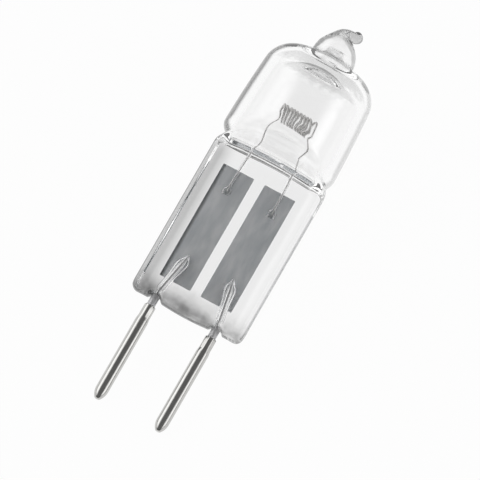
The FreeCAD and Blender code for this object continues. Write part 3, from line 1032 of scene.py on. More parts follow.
@dataclass
class Leads:
    """The outer leads: out of the sleeves, through the seal and onto the foils."""

    frame: LampFrame
    spacing: float = 6.35
    top_spacing: float = 4.7
    diameter: float = 0.8
    start: float = 1.7
    bend: float = 11.3
    bend_radius: float = 3.0
    end: float = 15.7
    end_round: float = 0.06
    end_taper: float = 0.2
    taper_rows: int = 7
    step: float = 0.2
    sides: int = 40
    crease: float = 50.0

    def route(self, side: Side) -> list[Vector]:
        """A lead's centre line.

        Args:
            side: Which lead.

        Returns:
            The line's points.
        """
        corners = [
            Vector((self.start, side.value * self.spacing / 2, 0)),
            Vector((self.bend, side.value * self.spacing / 2, 0)),
            Vector((self.end, side.value * self.top_spacing / 2, 0)),
        ]
        return spread(rounded_route(corners, self.bend_radius), self.step)

    def radius(self, number: int, last: int) -> float:
        """The wire's radius, rounded at its ends and tapered at the last of them.

        Args:
            number: The point's number on the centre line.
            last: The last point's number.

        Returns:
            The radius.
        """
        worn = blend(0.0, self.taper_rows, max(0, number - last + self.taper_rows))
        ended = self.end_round if number in (0, last) else 0.0
        return self.diameter / 2 - self.end_taper * worn - ended

    def build(self, material: bpy.types.Material) -> None:
        """Make both leads.

        Args:
            material: The wire's finish.
        """
        for side in Side:
            route = self.route(side)
            mesh = swept(route, lambda n, last=len(route) - 1: self.radius(n, last), self.sides)
            name = f"Lead_wire_{side.word}"
            node = f"lead_{side.word}"
            finish_piece(name, mesh, self.frame, material, node, self.crease)


@dataclass
class Foils:
    """The two foils sealed in the pinch, with feather edges and faint ripples."""

    frame: LampFrame
    width: float = 3.2
    start: float = 13.0
    end: float = 25.1
    middle: float = 2.15
    shift: float = 0.13
    front: float = -0.4
    thickness: float = 0.03
    edge: float = 0.012
    edge_rise: float = 8.0
    feather: float = 0.35
    ripple: float = 0.02
    slow_ripple: float = 0.35
    slow_rates: Span = (0.9, 1.5)
    slow_starts: Span = (1.3, 0.7)
    quick_ripple: float = 0.15
    quick_rates: Span = (2.3, 2.1)
    corner: float = 0.12
    corner_share: float = 0.04
    rows: int = 90
    segments: int = 72
    crease: float = 40.0

    def point(self, side: Side, row: int, angle: float) -> Vector:
        """A point of a foil's skin, whose first and last rows have no thickness.

        Args:
            side: Which foil.
            row: The row's number.
            angle: The angle round the foil's section.

        Returns:
            The point.
        """
        across = math.cos(angle)
        past = max(0.0, (abs(across) - (1 - self.corner_share)) / self.corner_share)
        inset = self.corner * (1 - math.sqrt(max(0.0, 1 - past ** 2)))
        run = self.end - self.start - 2 * inset
        x = self.start + inset + run * row_share(row, self.rows)
        y = side.value * self.middle + self.shift + across * self.width / 2
        reach = self.width / 2 * (1 - abs(across))
        thick = self.edge + (self.thickness - self.edge) * blend(0, self.feather, reach)
        flat = 0.0 if row in (0, self.rows - 1) else math.copysign(1.0, math.sin(angle))
        level = self.front - self.thickness / 2 - self.ripple * self.wave(x, y, side)
        rise = min(1.0, self.edge_rise * abs(math.sin(angle)))
        return Vector((x, y, level + flat * thick / 2 * rise))

    def wave(self, x: float, y: float, side: Side) -> float:
        """The foil's ripple, from 0 to 1, different on the two sides.

        Args:
            x: The place along the lamp.
            y: The place across it.
            side: Which foil.

        Returns:
            The ripple's share.
        """
        along, across = self.slow_rates
        first, second = (start * side.value for start in self.slow_starts)
        slow = math.sin(along * x + first) * math.sin(across * y + second)
        along, across = self.quick_rates
        quick = math.sin(along * x + across * y)
        return 0.5 + self.slow_ripple * slow + self.quick_ripple * quick

    def build(self, material: bpy.types.Material) -> None:
        """Make both foils.

        Args:
            material: The foil's finish.
        """
        for side in Side:
            mesh = skin(
                self.segments, self.rows, lambda row, angle, s=side: self.point(s, row, angle)
            )
            name = f"Foil_strip_{side.word}"
            node = f"foil_{side.word}"
            finish_piece(name, mesh, self.frame, material, node, self.crease)


@dataclass
class Filament:
    """One tungsten wire: a leg from each foil and the coil between them."""

    frame: LampFrame
    wire: float = 0.16
    coil_wire: float = 0.23
    coil_diameter: float = 1.75
    pitch: float = 0.345
    turns: float = 9.5
    skew: float = 12.0
    slant: float = 0.26
    run_out: float = 0.13
    end_turns: Span = (0.1, 0.6)
    unevenness: tuple[tuple[float, float, float], ...] = (
        # how far, how quickly, where it starts
        (0.03, 1.7, 0.0),
        (0.02, 4.1, 1.0),
    )
    height: float = 31.8
    leg_run: float = 0.8
    leg_bend: float = 1.2
    leg_step: float = 0.3
    foot: float = 22.9
    foot_spacing: float = 4.7
    entry: float = 27.85
    entry_spacing: float = 4.3
    leg_level: float = -0.3
    steps_per_turn: int = 36
    thin_steps: int = 3
    thick_steps: int = 9
    sides: int = 14
    crease: float = 60.0

    def coil(self) -> list[Vector]:
        """The coil's centre line, from its left end to its right end.

        Returns:
            The line's points.
        """
        radius = (self.coil_diameter - self.coil_wire) / 2
        length = self.pitch * self.turns
        lean = Matrix.Rotation(math.radians(self.skew), 3, "X")
        count = round(self.turns * self.steps_per_turn)
        early, late = self.end_turns
        line = []
        for number in range(count + 1):
            turn = self.turns * number / count
            angle = 2 * math.pi * turn
            uneven = sum(far * math.sin(rate * turn + at) for far, rate, at in self.unevenness)
            y = length / 2 - self.pitch * turn + uneven
            first = 1 - blend(early, late, turn)
            last = blend(self.turns - late, self.turns - early, turn)
            aslant = self.slant * radius * math.sin(angle) * (1 - first - last)
            y += aslant + self.run_out * (first - last)
            spot = Vector((radius * math.sin(angle), y, -radius * math.cos(angle)))
            line.append(lean @ spot + Vector((self.height, 0, 0)))
        return line

    def leg(self, side: Side, coil_end: Vector, up: Vector) -> list[Vector]:
        """A leg's centre line from its foil to the coil's end.

        Args:
            side: Which leg.
            coil_end: The coil's end.
            up: The wire's direction there, towards the coil.

        Returns:
            The leg's points.
        """
        corners = [
            Vector((self.foot, side.value * self.foot_spacing / 2, self.leg_level)),
            Vector((self.entry, side.value * self.entry_spacing / 2, self.leg_level)),
            coil_end - up * self.leg_run,
            coil_end,
        ]
        return spread(rounded_route(corners, self.leg_bend), self.leg_step)

    def build(self, material: bpy.types.Material) -> None:
        """Make the wire.

        Args:
            material: The tungsten's finish.
        """
        coil = self.coil()
        left = self.leg(Side.LEFT, coil[0], (coil[1] - coil[0]).normalized())
        right = self.leg(Side.RIGHT, coil[-1], (coil[-2] - coil[-1]).normalized())
        route = left[:-1] + coil + right[-2::-1]
        first = len(left) - 1
        last = first + len(coil) - 1

        def radius(number: int) -> float:
            """The wire's radius, thicker where it is wound.

            Args:
                number: The point's number on the route.

            Returns:
                The radius.
            """
            wound = min(
                blend(first - self.thin_steps, first + self.thick_steps, number),
                1 - blend(last - self.thick_steps, last + self.thin_steps, number),
            )
            return (self.wire + (self.coil_wire - self.wire) * wound) / 2

        mesh = swept(route, radius, self.sides)
        finish_piece(
            "Filament_wire", mesh, self.frame, material, "filament", self.crease
        )


# Glass
@dataclass
class PinchSeal:
    """The pressed end of the tube: web, rails, lobed end and the shoulders that rise from it."""

    end: float = 10.7
    top: float = 26.9
    half_width: float = 5.74
    shift: float = 0.06
    web: float = 1.3
    rail: float = 1.5
    rail_inner: float = 4.75
    rail_step: float = 1.1
    rail_fade: float = 1.0
    corner: float = 0.75
    edge_round: float = 0.5
    pin_place: float = 3.175
    notch_half: float = 0.725
    notch_depth: float = 0.5
    notch_point: float = 0.25
    tab_half: float = 2.45
    tab_bulge: float = 0.12
    foot: float = 26.49
    inner_round: float = 0.9
    shoulder_top: float = 30.35
    past_shoulder: float = 1.0
    outer_round: float = 2.7
    shoulder_angle: float = 78.0
    shoulder_level: float = 5.9
    arch: float = 0.45
    blend_width: float = 1.1
    swell: float = 0.02
    swell_rates: Span = (0.8, 0.9)
    swell_start: float = 0.4
    swell_fade: float = 2.0

    @property
    def last_touch(self) -> float:
        """How far up the lamp the press still shapes the glass."""
        return self.shoulder_top + self.past_shoulder

    def end_at(self, y: float) -> float:
        """Where the glass ends, with its rounded corners, two notches and bulging tab.

        Args:
            y: The place across the lamp.

        Returns:
            The place along it.
        """
        away = abs(y)
        if away > self.half_width - self.corner:
            out = min(self.corner, away - self.half_width + self.corner)
            return self.end + self.corner - math.sqrt(self.corner ** 2 - out ** 2)
        from_pin = abs(away - self.pin_place) / self.notch_half
        if from_pin < 1:
            hollow_share = 1 - from_pin ** 2
            pointed = 1 - self.notch_point + self.notch_point * hollow_share
            return self.end + self.notch_depth * hollow_share * pointed
        if away < self.tab_half:
            return self.end - self.tab_bulge * (1 - (away / self.tab_half) ** 2)
        return self.end

    def shoulder(self, x: float) -> float:
        """The pressed shoulder's height over the middle plane, from the web to the bulb.

        Args:
            x: The place along the lamp.

        Returns:
            The height.
        """
        lean = math.radians(self.shoulder_angle)
        small = self.inner_round
        large = self.outer_round
        start = self.foot + small * math.sin(lean)
        stop = self.shoulder_top - large * math.sin(lean)
        if x <= self.foot:
            return self.web
        if x < start:
            return self.web + small - math.sqrt(small ** 2 - (x - self.foot) ** 2)
        if x > stop:
            back = max(0.0, self.shoulder_top - x)
            return self.shoulder_level - large + math.sqrt(large ** 2 - back ** 2)
        low = self.web + small * (1 - math.cos(lean))
        high = self.shoulder_level - large * (1 - math.cos(lean))
        return low + (high - low) * (x - start) / (stop - start)

    def bow(self, y: float) -> float:
        """How much nearer the bulb's middle the shoulder and the floor lie than at the sides."""
        return self.arch * (0.5 - min(1.0, (y / self.half_width) ** 2))

    def level(self, x: float, y: float) -> float:
        """The pressed surface's height over the middle plane.

        Args:
            x: The place along the lamp.
            y: The place across it.

        Returns:
            The height.
        """
        half_step = self.rail_step / 2
        railed = blend(self.rail_inner - half_step, self.rail_inner + half_step, abs(y))
        rail = (self.rail - self.web) * railed
        faded = 1 - blend(self.foot - self.swell_fade, self.foot, x)
        along, across = self.swell_rates
        swell = self.swell * math.sin(along * x + self.swell_start) * math.cos(across * y) * faded
        kept = 1 - blend(self.foot, self.top + self.rail_fade, x)
        return self.shoulder(x - self.bow(y)) + rail * kept + swell


@dataclass
class LeadSpace:
    """The space that a lead leaves in the glass, running out to a point over the foil."""

    leads: Leads
    pinch: PinchSeal
    past_end: float = 0.68
    overrun: float = 0.25
    radius: float = 0.455
    foil_front: float = -0.392
    foil_reach: Span = (12.6, 13.6)
    swell: float = 0.16
    swell_reach: Span = (12.9, 15.2)
    fade_run: float = 1.3
    least_width: float = 0.15
    least_height: float = 0.2
    rows: int = 60
    segments: int = 40

    def point(self, side: Side, row: int, angle: float) -> Vector:
        """A point of the space.

        Args:
            side: Which lead.
            row: The row's number.
            angle: The angle round the lead.

        Returns:
            The point.
        """
        wire = self.leads
        first = self.pinch.end + self.past_end
        last = wire.end + self.overrun
        x = first + (last - first) * row_share(row, self.rows)
        slope = (wire.spacing - wire.top_spacing) / 2 / (wire.end - wire.bend)
        out = wire.spacing / 2 - max(0.0, x - wire.bend) * slope
        over_foil = blend(*self.foil_reach, x)
        fade = 1 - blend(wire.end - self.fade_run, last, x) ** 2
        wide = self.radius + self.swell * over_foil * blend(*self.swell_reach, x)
        wide *= self.least_width + (1 - self.least_width) * fade
        high = self.radius * (self.least_height + (1 - self.least_height) * fade)
        low = self.radius + (-self.foil_front - self.radius) * over_foil
        if row in (0, self.rows - 1):
            wide = high = low = 0.0
        z = math.sin(angle) * (high if math.sin(angle) > 0 else low)
        return Vector((x, side.value * out + wide * math.cos(angle), z))

    def mesh(self, side: Side) -> Mesh:
        """The space's skin on one side."""
        return hollow(self.segments, self.rows, lambda row, angle: self.point(side, row, angle))


@dataclass
class LegSpace:
    """The channel round a filament leg, with a ragged pocket where the wire ends."""

    wire: Filament
    floor: float
    before_foot: float = 0.35
    under_floor: float = 0.15
    radius: float = 0.155
    pocket: float = 0.2
    pocket_reach: Span = (0.15, 0.65)
    # how far, how often round the leg, how quickly along it
    ragged_lobes: tuple[float, float, float] = (0.25, 5.0, 9.0)
    # how far, how quickly along the leg
    ragged_steps: Span = (0.15, 11.0)
    most_high: float = 0.2
    most_low: float = 0.095
    rows: int = 90
    segments: int = 40

    def point(self, side: Side, row: int, angle: float) -> Vector:
        """A point of the channel.

        Args:
            side: Which leg.
            row: The row's number.
            angle: The angle round the leg.

        Returns:
            The point.
        """
        wire = self.wire
        first = wire.foot - self.before_foot
        last = self.floor - self.under_floor
        x = first + (last - first) * row_share(row, self.rows)
        slope = (wire.entry_spacing - wire.foot_spacing) / 2 / (wire.entry - wire.foot)
        y = wire.foot_spacing / 2 + (x - wire.foot) * slope
        start, end = self.pocket_reach
        pocket = self.pocket * (1 - blend(wire.foot + start, wire.foot + end, x))
        far, turns, rate = self.ragged_lobes
        ragged = 1 + far * math.sin(turns * angle + rate * x)
        far, rate = self.ragged_steps
        ragged += far * math.sin(rate * x + side.value)
        wide = 0.0 if row in (0, self.rows - 1) else self.radius + pocket * ragged
        high = min(wide, self.most_high if math.sin(angle) > 0 else self.most_low)
        y = side.value * y + wide * math.cos(angle)
        return Vector((x, y, wire.leg_level + math.sin(angle) * high))

    def mesh(self, side: Side) -> Mesh:
        """The channel's skin on one side."""
        return hollow(self.segments, self.rows, lambda row, angle: self.point(side, row, angle))


@dataclass
class Envelope:
    """The quartz envelope: its outside, its gas space and the fine spaces round the metal."""

    frame: LampFrame
    leads: Leads
    filament: Filament
    pinch: PinchSeal = field(default_factory=PinchSeal)
    groove_bottom: float = 27.6
    groove_spread: float = 0.55
    groove_left: float = 0.52
    groove_right: float = 0.28
    barrel_start: float = 28.5
    barrel_end: float = 35.6
    barrel_radius: float = 5.81
    barrel_swell: float = 0.05
    barrel_crowding: float = 1.7
    past_barrel_start: float = 0.4
    taper: float = 2.8
    dome_corner: float = 2.6
    corner_angle: float = 78.0
    crown_angle: float = 88.0
    wall: float = 1.05
    inner_corner: float = 2.3
    tip_stations: tuple[tuple[float, ...], ...] = (
        # share, middle along, middle across, lean in degrees, radius
        (0.0, 38.1, 0.0, 0.0, 2.9),
        (0.05, 38.15, 0.0, 0.0, 2.6),
        (0.1, 38.3, 0.0, 0.0, 2.36),
        (0.15, 38.52, 0.0, 0.0, 2.2),
        (0.21, 38.8, 0.0, 0.0, 2.12),
        (0.3, 39.15, 0.01, 0.0, 2.07),
        (0.42, 39.74, 0.05, 0.0, 1.88),
        (0.52, 40.28, 0.08, 1.0, 1.54),
        (0.6, 40.7, 0.07, 5.0, 1.2),
        (0.68, 41.0, 0.0, 14.0, 0.96),
        (0.75, 41.2, -0.14, 32.0, 0.76),
        (0.81, 41.34, -0.38, 55.0, 0.58),
        (0.87, 41.38, -0.7, 76.0, 0.5),
    )
    waver_lobes: int = 3
    tip_waver: float = 0.03
    tip_twist: float = 9.0
    tip_waver_reach: Span = (0.4, 0.75)
    nib_radius: float = 0.58
    nib_along: float = 41.45
    nib_across: float = -0.98
    nib_lean: float = 76.0
    nib_waver: float = 0.07
    nib_twist: float = 2.0
    floor: float = 27.35
    floor_round: float = 0.3
    floor_slope: float = 2.25
    floor_blend: float = 1.5
    floor_width: float = 0.93
    floor_growth: float = 0.07
    bore_base: float = 1.5
    bore_stations: tuple[tuple[float, ...], ...] = (
        # share, how far up the bore, radius
        (0.0, 0.0, 1.5),
        (0.08, 0.08, 1.41),
        (0.3, 0.6, 1.28),
        (0.65, 1.3, 1.1),
        (1.0, 2.0, 0.88),
    )
    bore_round: float = 0.2
    end_depth: float = 2.0
    end_rows: int = 10
    settle_rows: int = 12
    pinch_step: float = 0.49
    pinch_rows: int = 28
    neck_gap: float = 0.1
    neck_step: float = 0.07
    neck_rows: int = 35
    barrel_steps: int = 48
    corner_steps: int = 18
    crown_steps: int = 10
    tip_rows: int = 44
    nib_rows: int = 12
    floor_rows: int = 26
    bore_rows: int = 24
    cap_rows: int = 6
    segments: int = 260
    inner_segments: int = 192
    crease: float = 75.0

    # Outlines of the blown part
    def outline(self, inset: float, crown: float, corner: float) -> list[Span]:
        """The blown bulb's half outline from the barrel's start over the dome.

        Args:
            inset: How far the outline lies inside the glass.
            crown: The radius at which it stops on the dome.
            corner: The radius between the barrel and the dome.

        Returns:
            Corners as (along, radius).
        """
        taper = math.radians(self.taper)
        low_x = self.barrel_start - inset * math.sin(taper)
        low_radius = self.barrel_radius - inset * math.cos(taper)
        barrel_end = self.barrel_end - max(0.0, corner + inset - self.dome_corner)
        high_x = barrel_end - inset * math.sin(taper)
        high_radius = low_radius - (barrel_end - self.barrel_start) * math.tan(taper)
        points = []
        for step in range(self.barrel_steps):
            share = (step / self.barrel_steps) ** self.barrel_crowding
            swell = self.barrel_swell * math.sin(math.pi * share)
            radius = low_radius + (high_radius - low_radius) * share + swell
            points.append((low_x + (high_x - low_x) * share, radius))
        middle_x = high_x - corner * math.sin(taper)
        middle_radius = high_radius - corner * math.cos(taper)
        last = math.radians(self.corner_angle)
        for step in range(self.corner_steps + 1):
            angle = taper + (last - taper) * step / self.corner_steps
            radius = middle_radius + corner * math.cos(angle)
            points.append((middle_x + corner * math.sin(angle), radius))
        along, radius = points[-1]
        inward = (radius - crown) / self.crown_steps
        rise = math.radians(self.crown_angle) - last
        for step in range(self.crown_steps):
            angle = last + rise * (step + 0.5) / self.crown_steps
            along += inward / math.tan(angle)
            radius -= inward
            points.append((along, radius))
        return points

    def bite(self, x: float, across: float) -> float:
        """How deep the press bites into the tube's side at the neck.

        Args:
            x: The place along the lamp.
            across: From 1 on the left side to -1 on the right.

        Returns:
            The depth.
        """
        uneven = across * (self.groove_left - self.groove_right)
        depth = (self.groove_left + self.groove_right + uneven) / 2
        return depth * math.exp(-((x - self.groove_bottom) / self.groove_spread) ** 2)

    def half_width(self, x: float, across: float) -> float:
        """The glass's half width below the barrel.

        Args:
            x: The place along the lamp.
            across: From 1 on the left side to -1 on the right.

        Returns:
            The half width.
        """
        pinch = self.pinch
        grown = blend(pinch.top, self.barrel_start, x)
        wide = pinch.half_width + (self.barrel_radius - pinch.half_width) * grown
        wide -= pinch.shift * across * (1 - grown)
        return wide - self.bite(x, across)

    def press(self, x: float, y: float, tube: float) -> float:
        """The height of the tube's outside where the press may have lowered it.

        Args:
            x: The place along the lamp.
            y: The place across it.
            tube: The height of the tube there.

        Returns:
            The height, with the shoulder run softly into the tube.
        """
        grown = blend(self.pinch.last_touch, self.barrel_start + self.past_barrel_start, x)
        return soft_least(tube, self.pinch.level(x, y), self.pinch.blend_width * grown + MERGE)

    # Outside
    def pressed_point(self, x: float, angle: float, squeeze: float = 1.0) -> Vector:
        """A point of a section that the press has shaped.

        Args:
            x: The section's place along the lamp.
            angle: The angle round the lamp.
            squeeze: The share of its thickness that the section keeps.

        Returns:
            The point.
        """
        across = math.cos(angle)
        wide = self.half_width(x, across)
        y = wide * across
        z = self.press(x, y, math.sqrt(max(0.0, wide ** 2 - y ** 2)))
        z = max(0.0, z) if abs(math.sin(angle)) > MERGE else 0.0
        return Vector((x, y, math.copysign(z * squeeze, math.sin(angle))))

    def end_point(self, row: int, angle: float) -> Vector:
        """A point of the lobed end: its rounded edge, and the rows that settle behind it.

        Args:
            row: The row's number.
            angle: The angle round the lamp.

        Returns:
            The point.
        """
        settled = self.pinch.end + self.end_depth
        quarter = math.pi / 2 * min(1.0, row / (self.end_rows - 1))
        spot = self.pressed_point(settled, angle, math.sin(quarter))
        edge = self.pinch.end_at(spot.y) + self.pinch.edge_round * (1 - math.cos(quarter))
        run = max(0, row - self.end_rows + 1) / (self.settle_rows + 1)
        spot.x = edge + (settled - edge) * run
        return spot

    def blown_point(self, x: float, radius: float, angle: float) -> Vector:
        """A point of the barrel or the dome.

        Args:
            x: The place along the lamp.
            radius: The radius that the bulb was blown to there.
            angle: The angle round the lamp.

        Returns:
            The point.
        """
        radius -= self.bite(x, math.cos(angle))
        y = radius * math.cos(angle)
        z = radius * math.sin(angle)
        if x < self.pinch.last_touch:
            z = math.copysign(self.press(x, y, abs(z)), z)
        return Vector((x, y, z))

    def tip_point(self, row: int, angle: float) -> Vector:
        """A point of the exhaust tip, up to the nib.

        Args:
            row: The row's number.
            angle: The angle round the tip.

        Returns:
            The point.
        """
        share = self.tip_stations[-1][0] * row / (self.tip_rows - 1)
        along, middle, lean, radius = along_stations(self.tip_stations, share)
        tilt = math.radians(lean)
        wavering = self.tip_waver * blend(*self.tip_waver_reach, share)
        radius *= 1 + wavering * math.sin(self.waver_lobes * angle + self.tip_twist * share)
        y = radius * math.cos(angle)
        return Vector((
            along + y * math.sin(tilt), middle + y * math.cos(tilt), radius * math.sin(angle)
        ))

    def nib_point(self, row: int, angle: float) -> Vector:
        """A point of the nib, the drop of glass at the tip's end.

        Args:
            row: The row's number.
            angle: The angle round the nib.

        Returns:
            The point.
        """
        first = -math.acos(self.tip_stations[-1][-1] / self.nib_radius)
        turn = first + (math.pi / 2 - first) * (row + 1) / self.nib_rows
        tilt = math.radians(self.nib_lean)
        wave = math.sin(self.waver_lobes * angle + self.nib_twist * turn)
        radius = self.nib_radius * math.cos(turn) * (1 + self.nib_waver * wave * math.cos(turn))
        ahead = self.nib_radius * math.sin(turn)
        y = radius * math.cos(angle)
        return Vector((
            self.nib_along + ahead * math.cos(tilt) + y * math.sin(tilt),
            self.nib_across - ahead * math.sin(tilt) + y * math.cos(tilt),
            radius * math.sin(angle),
        ))

    def outside(self) -> Mesh:
        """The outer skin from the lobed end over the shoulders and the dome to the nib.

        Returns:
            The closed outer mesh.
        """
        start = self.pinch.end + self.end_depth
        sections = [start + self.pinch_step * n for n in range(self.pinch_rows)]
        neck = sections[-1] + self.neck_gap
        sections += [neck + self.neck_step * n for n in range(self.neck_rows)]
        blown = self.outline(0.0, self.tip_stations[0][-1], self.dome_corner)
        return skin(self.segments, *stacked([
            (self.end_rows + self.settle_rows, self.end_point),
            (len(sections), lambda row, angle: self.pressed_point(sections[row], angle)),
            (len(blown), lambda row, angle: self.blown_point(*blown[row], angle)),
            (self.tip_rows, self.tip_point),
            (self.nib_rows, self.nib_point),
        ]))

    # Gas space
    def inner_point(self, x: float, radius: float, angle: float) -> Vector:
        """A point of the gas space, where the pressed floor and shoulders may lower it.

        Args:
            x: The place along the lamp.
            radius: The radius of the space there.
            angle: The angle round the lamp.

        Returns:
            The point.
        """
        y = radius * math.cos(angle)
        z = radius * abs(math.sin(angle))
        up = x - self.floor - self.pinch.bow(y) + self.pinch.arch / 2
        if up <= 0:
            z = 0.0
        elif x <= self.pinch.last_touch:
            ended = 1 - max(0.0, 1 - up / self.floor_round) ** 2
            limit = up * self.floor_slope
            z = max(0.0, soft_least(z, limit, min(limit, self.floor_blend))) * math.sqrt(ended)
        return Vector((x, y, math.copysign(z, math.sin(angle))))

    def floor_point(self, row: int, low_x: float, low_radius: float, angle: float) -> Vector:
        """A point of the gas space between the seal's floor and the barrel.

        Args:
            row: The row's number.
            low_x: Where the barrel's own space starts.
            low_radius: The radius of the space there.
            angle: The angle round the lamp.

        Returns:
            The point.
        """
        share = row / self.floor_rows
        growth = self.floor_growth * math.sin(math.pi / 2 * share)
        wide = low_radius * (self.floor_width + growth)
        low = self.pinch.bow(wide * math.cos(angle)) - self.pinch.arch / 2
        x = self.floor + (low_x - self.floor) * share + low * (1 - share)
        spot = self.inner_point(x, wide, angle)
        if not row:
            spot.z = 0.0
        return spot

    def bore_point(self, row: int, mouth: float, angle: float) -> Vector:
        """A point of the bore in the exhaust tip, which starts at its mouth."""
        up, radius = along_stations(self.bore_stations, (row + 1) / self.bore_rows)
        return ring_point(mouth + up, radius, angle)

    def cap_point(self, row: int, mouth: float, angle: float) -> Vector:
        """A point of the bore's rounded end, whose last row has no width.

        Args:
            row: The row's number.
            mouth: Where the bore starts, in millimetres along the lamp.
            angle: The angle round the lamp.

        Returns:
            The point.
        """
        _, up, radius = self.bore_stations[-1]
        turn = math.pi / 2 * min(1.0, (row + 1) / self.cap_rows)
        radius -= self.bore_round * (1 - math.cos(turn))
        x = mouth + up + self.bore_round * math.sin(turn)
        return ring_point(x, radius if row < self.cap_rows else 0.0, angle)

    def inside(self) -> Mesh:
        """The gas space from the seal's floor to the end of the exhaust bore.

        Returns:
            The closed inner mesh, its faces turned away from the glass.
        """
        blown = self.outline(self.wall, self.bore_base, self.inner_corner)
        mouth = blown[-1][0]
        return hollow(self.inner_segments, *stacked([
            (self.floor_rows, lambda row, angle: self.floor_point(row, *blown[0], angle)),
            (len(blown), lambda row, angle: self.inner_point(*blown[row], angle)),
            (self.bore_rows, lambda row, angle: self.bore_point(row, mouth, angle)),
            (self.cap_rows + 1, lambda row, angle: self.cap_point(row, mouth, angle)),
        ]))

    def build(self, material: bpy.types.Material) -> None:
        """Join the outside and the spaces into one piece of glass.

        Args:
            material: The quartz.
        """
        glass = self.outside()
        outer = glass.verts.layers.float.new(OUTER_SKIN)
        for vert in glass.verts:
            vert[outer] = 1.0
        lead_space = LeadSpace(self.leads, self.pinch)
        leg_space = LegSpace(self.filament, self.floor)
        spaces = [self.inside()]
        spaces += [lead_space.mesh(side) for side in Side]
        spaces += [leg_space.mesh(side) for side in Side]
        for space in spaces:
            data = bpy.data.meshes.new("space")
            space.to_mesh(data)
            space.free()
            glass.from_mesh(data)
            bpy.data.meshes.remove(data)
        finish_piece(
            "Quartz_glass", glass, self.frame, material, "quartz_envelope", self.crease
        )


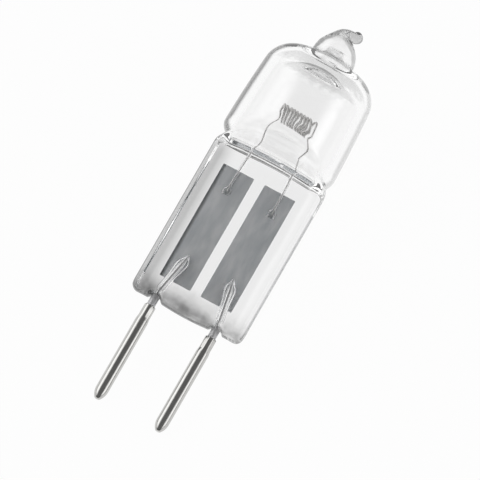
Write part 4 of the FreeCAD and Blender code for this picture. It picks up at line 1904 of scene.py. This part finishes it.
# Light and view
@dataclass
class Studio:
    """A pale floor, soft light all round and the view of the lamp from above."""

    frame: LampFrame
    floor_size: float = 6.0
    floor_colour: tuple[float, float, float, float] = (0.93, 0.93, 0.93, 1.0)
    floor_roughness: float = 0.9
    floor_glow: float = 0.97
    view_tilt: float = 13.0
    view_roll: float = 8.0
    image_turn: float = 30.0
    aim_across: float = 0.94
    aim_along: float = 19.0
    field_width: float = 43.8
    distance: float = 1200.0
    sensor: float = 36.0
    near_clip: float = 0.01
    box_level: float = 1.8
    box_left: Span = (0.4, 0.8)
    box_right: Span = (0.62, 0.9)
    dark_level: float = 0.17
    low_level: float = 0.5
    end_level: float = 0.08
    end_reach: Span = (0.45, 0.8)
    low_reach: Span = (0.02, 0.45)

    def eye(self) -> Vector:
        """The direction from the lamp to the camera, in the lamp's axes.

        Returns:
            The direction.
        """
        tilt = math.radians(self.view_tilt)
        roll = math.radians(self.view_roll)
        return Vector((
            -math.sin(tilt), -math.cos(tilt) * math.sin(roll), math.cos(tilt) * math.cos(roll)
        ))

    def build_floor(self) -> None:
        """Lay the floor, which glows where the camera, a mirror or glass looks at it."""
        mesh = bmesh.new()
        bmesh.ops.create_grid(mesh, x_segments=1, y_segments=1, size=self.floor_size / 2)
        data = bpy.data.meshes.new("floor")
        mesh.to_mesh(data)
        mesh.free()
        material, nodes, shader = new_material("pale_floor")
        shader.inputs["Base Color"].default_value = self.floor_colour
        shader.inputs["Roughness"].default_value = self.floor_roughness
        shader.inputs["Specular IOR Level"].default_value = 0.0
        glow = nodes.add("ShaderNodeEmission")
        glow.inputs["Strength"].default_value = 1.0
        rays = nodes.add("ShaderNodeLightPath").outputs
        direct = nodes.reckon("MAXIMUM", rays["Is Camera Ray"], rays["Is Glossy Ray"])
        seen = nodes.reckon("MAXIMUM", direct, rays["Is Transmission Ray"])
        nodes.show(nodes.reckon("MULTIPLY", seen, self.floor_glow), shader, glow)
        data.materials.append(material)
        floor = bpy.data.objects.new("floor", data)
        bpy.context.scene.collection.objects.link(floor)
        LOG.info("floor laid")

    def build_world(self) -> None:
        """Light the lamp with a long soft box on each side, dark between and dim near the floor."""
        world = bpy.data.worlds.new("studio")
        world.use_nodes = True
        bpy.context.scene.world = world
        nodes = Nodes(world.node_tree)
        background = world.node_tree.nodes["Background"]
        background.inputs["Color"].default_value = (1.0, 1.0, 1.0, 1.0)
        way = nodes.add("ShaderNodeTexCoord").outputs["Generated"]
        levels = (self.dark_level, self.box_level)
        left = nodes.ramp(nodes.toward(way, self.frame.way(0, 1, 0)), self.box_left, levels)
        right = nodes.ramp(nodes.toward(way, self.frame.way(0, -1, 0)), self.box_right, levels)
        boxes = nodes.reckon("MAXIMUM", left, right)
        endwise = nodes.toward(way, self.frame.way(-1, 0, 0))
        low = nodes.ramp(endwise, self.end_reach, (self.low_level, self.end_level))
        level = nodes.mix(nodes.ramp(nodes.parts(way)["Z"], self.low_reach), low, boxes)
        camera_ray = nodes.add("ShaderNodeLightPath").outputs["Is Camera Ray"]
        nodes.link(nodes.mix(camera_ray, level, 1.0), background.inputs["Strength"])
        LOG.info("world lit")

    def build_camera(self) -> None:
        """Set the camera on the lamp as the photograph has it."""
        eye = self.frame.way(*self.eye())
        axis = self.frame.way(1, 0, 0)
        up = (axis - eye * axis.dot(eye)).normalized()
        right = up.cross(eye)
        ends = self.frame.point(0, 0, 0)
        target = ends + (right * self.aim_across + up * self.aim_along) * MM
        turn = math.radians(self.image_turn)
        image_right = right * math.cos(turn) + up * math.sin(turn)
        image_up = up * math.cos(turn) - right * math.sin(turn)
        data = bpy.data.cameras.new("view")
        data.sensor_width = self.sensor
        data.lens = self.sensor * self.distance / self.field_width
        data.clip_start = self.near_clip
        camera = bpy.data.objects.new("view", data)
        turned_to = Matrix((image_right, image_up, eye)).transposed().to_4x4()
        camera.matrix_world = Matrix.Translation(target + eye * self.distance * MM) @ turned_to
        bpy.context.scene.collection.objects.link(camera)
        bpy.context.scene.camera = camera
        LOG.info("camera set")

    def build(self) -> None:
        """Build the floor, the light and the camera."""
        self.build_floor()
        self.build_world()
        self.build_camera()


def main() -> None:
    """Load the frame, dress the lamp and set the scene."""
    logging.basicConfig(level=logging.INFO, format="%(name)s: %(message)s")
    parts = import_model()
    frame = LampFrame.from_record(parts["record"])
    effects = Effects(DrawnLines().build(), Smudges().build(), frame)
    leads = Leads(frame)
    filament = Filament(frame)
    Pins(frame).build(PLATED_PIN.build(effects))
    leads.build(LEAD_WIRE.build(effects))
    Foils(frame).build(FOIL.build(effects))
    filament.build(TUNGSTEN.build(effects))
    Envelope(frame, leads, filament).build(Quartz().build(effects))
    Studio(frame).build()
    bpy.context.scene.view_settings.view_transform = "Standard"


if __name__ == "__main__":
    main()
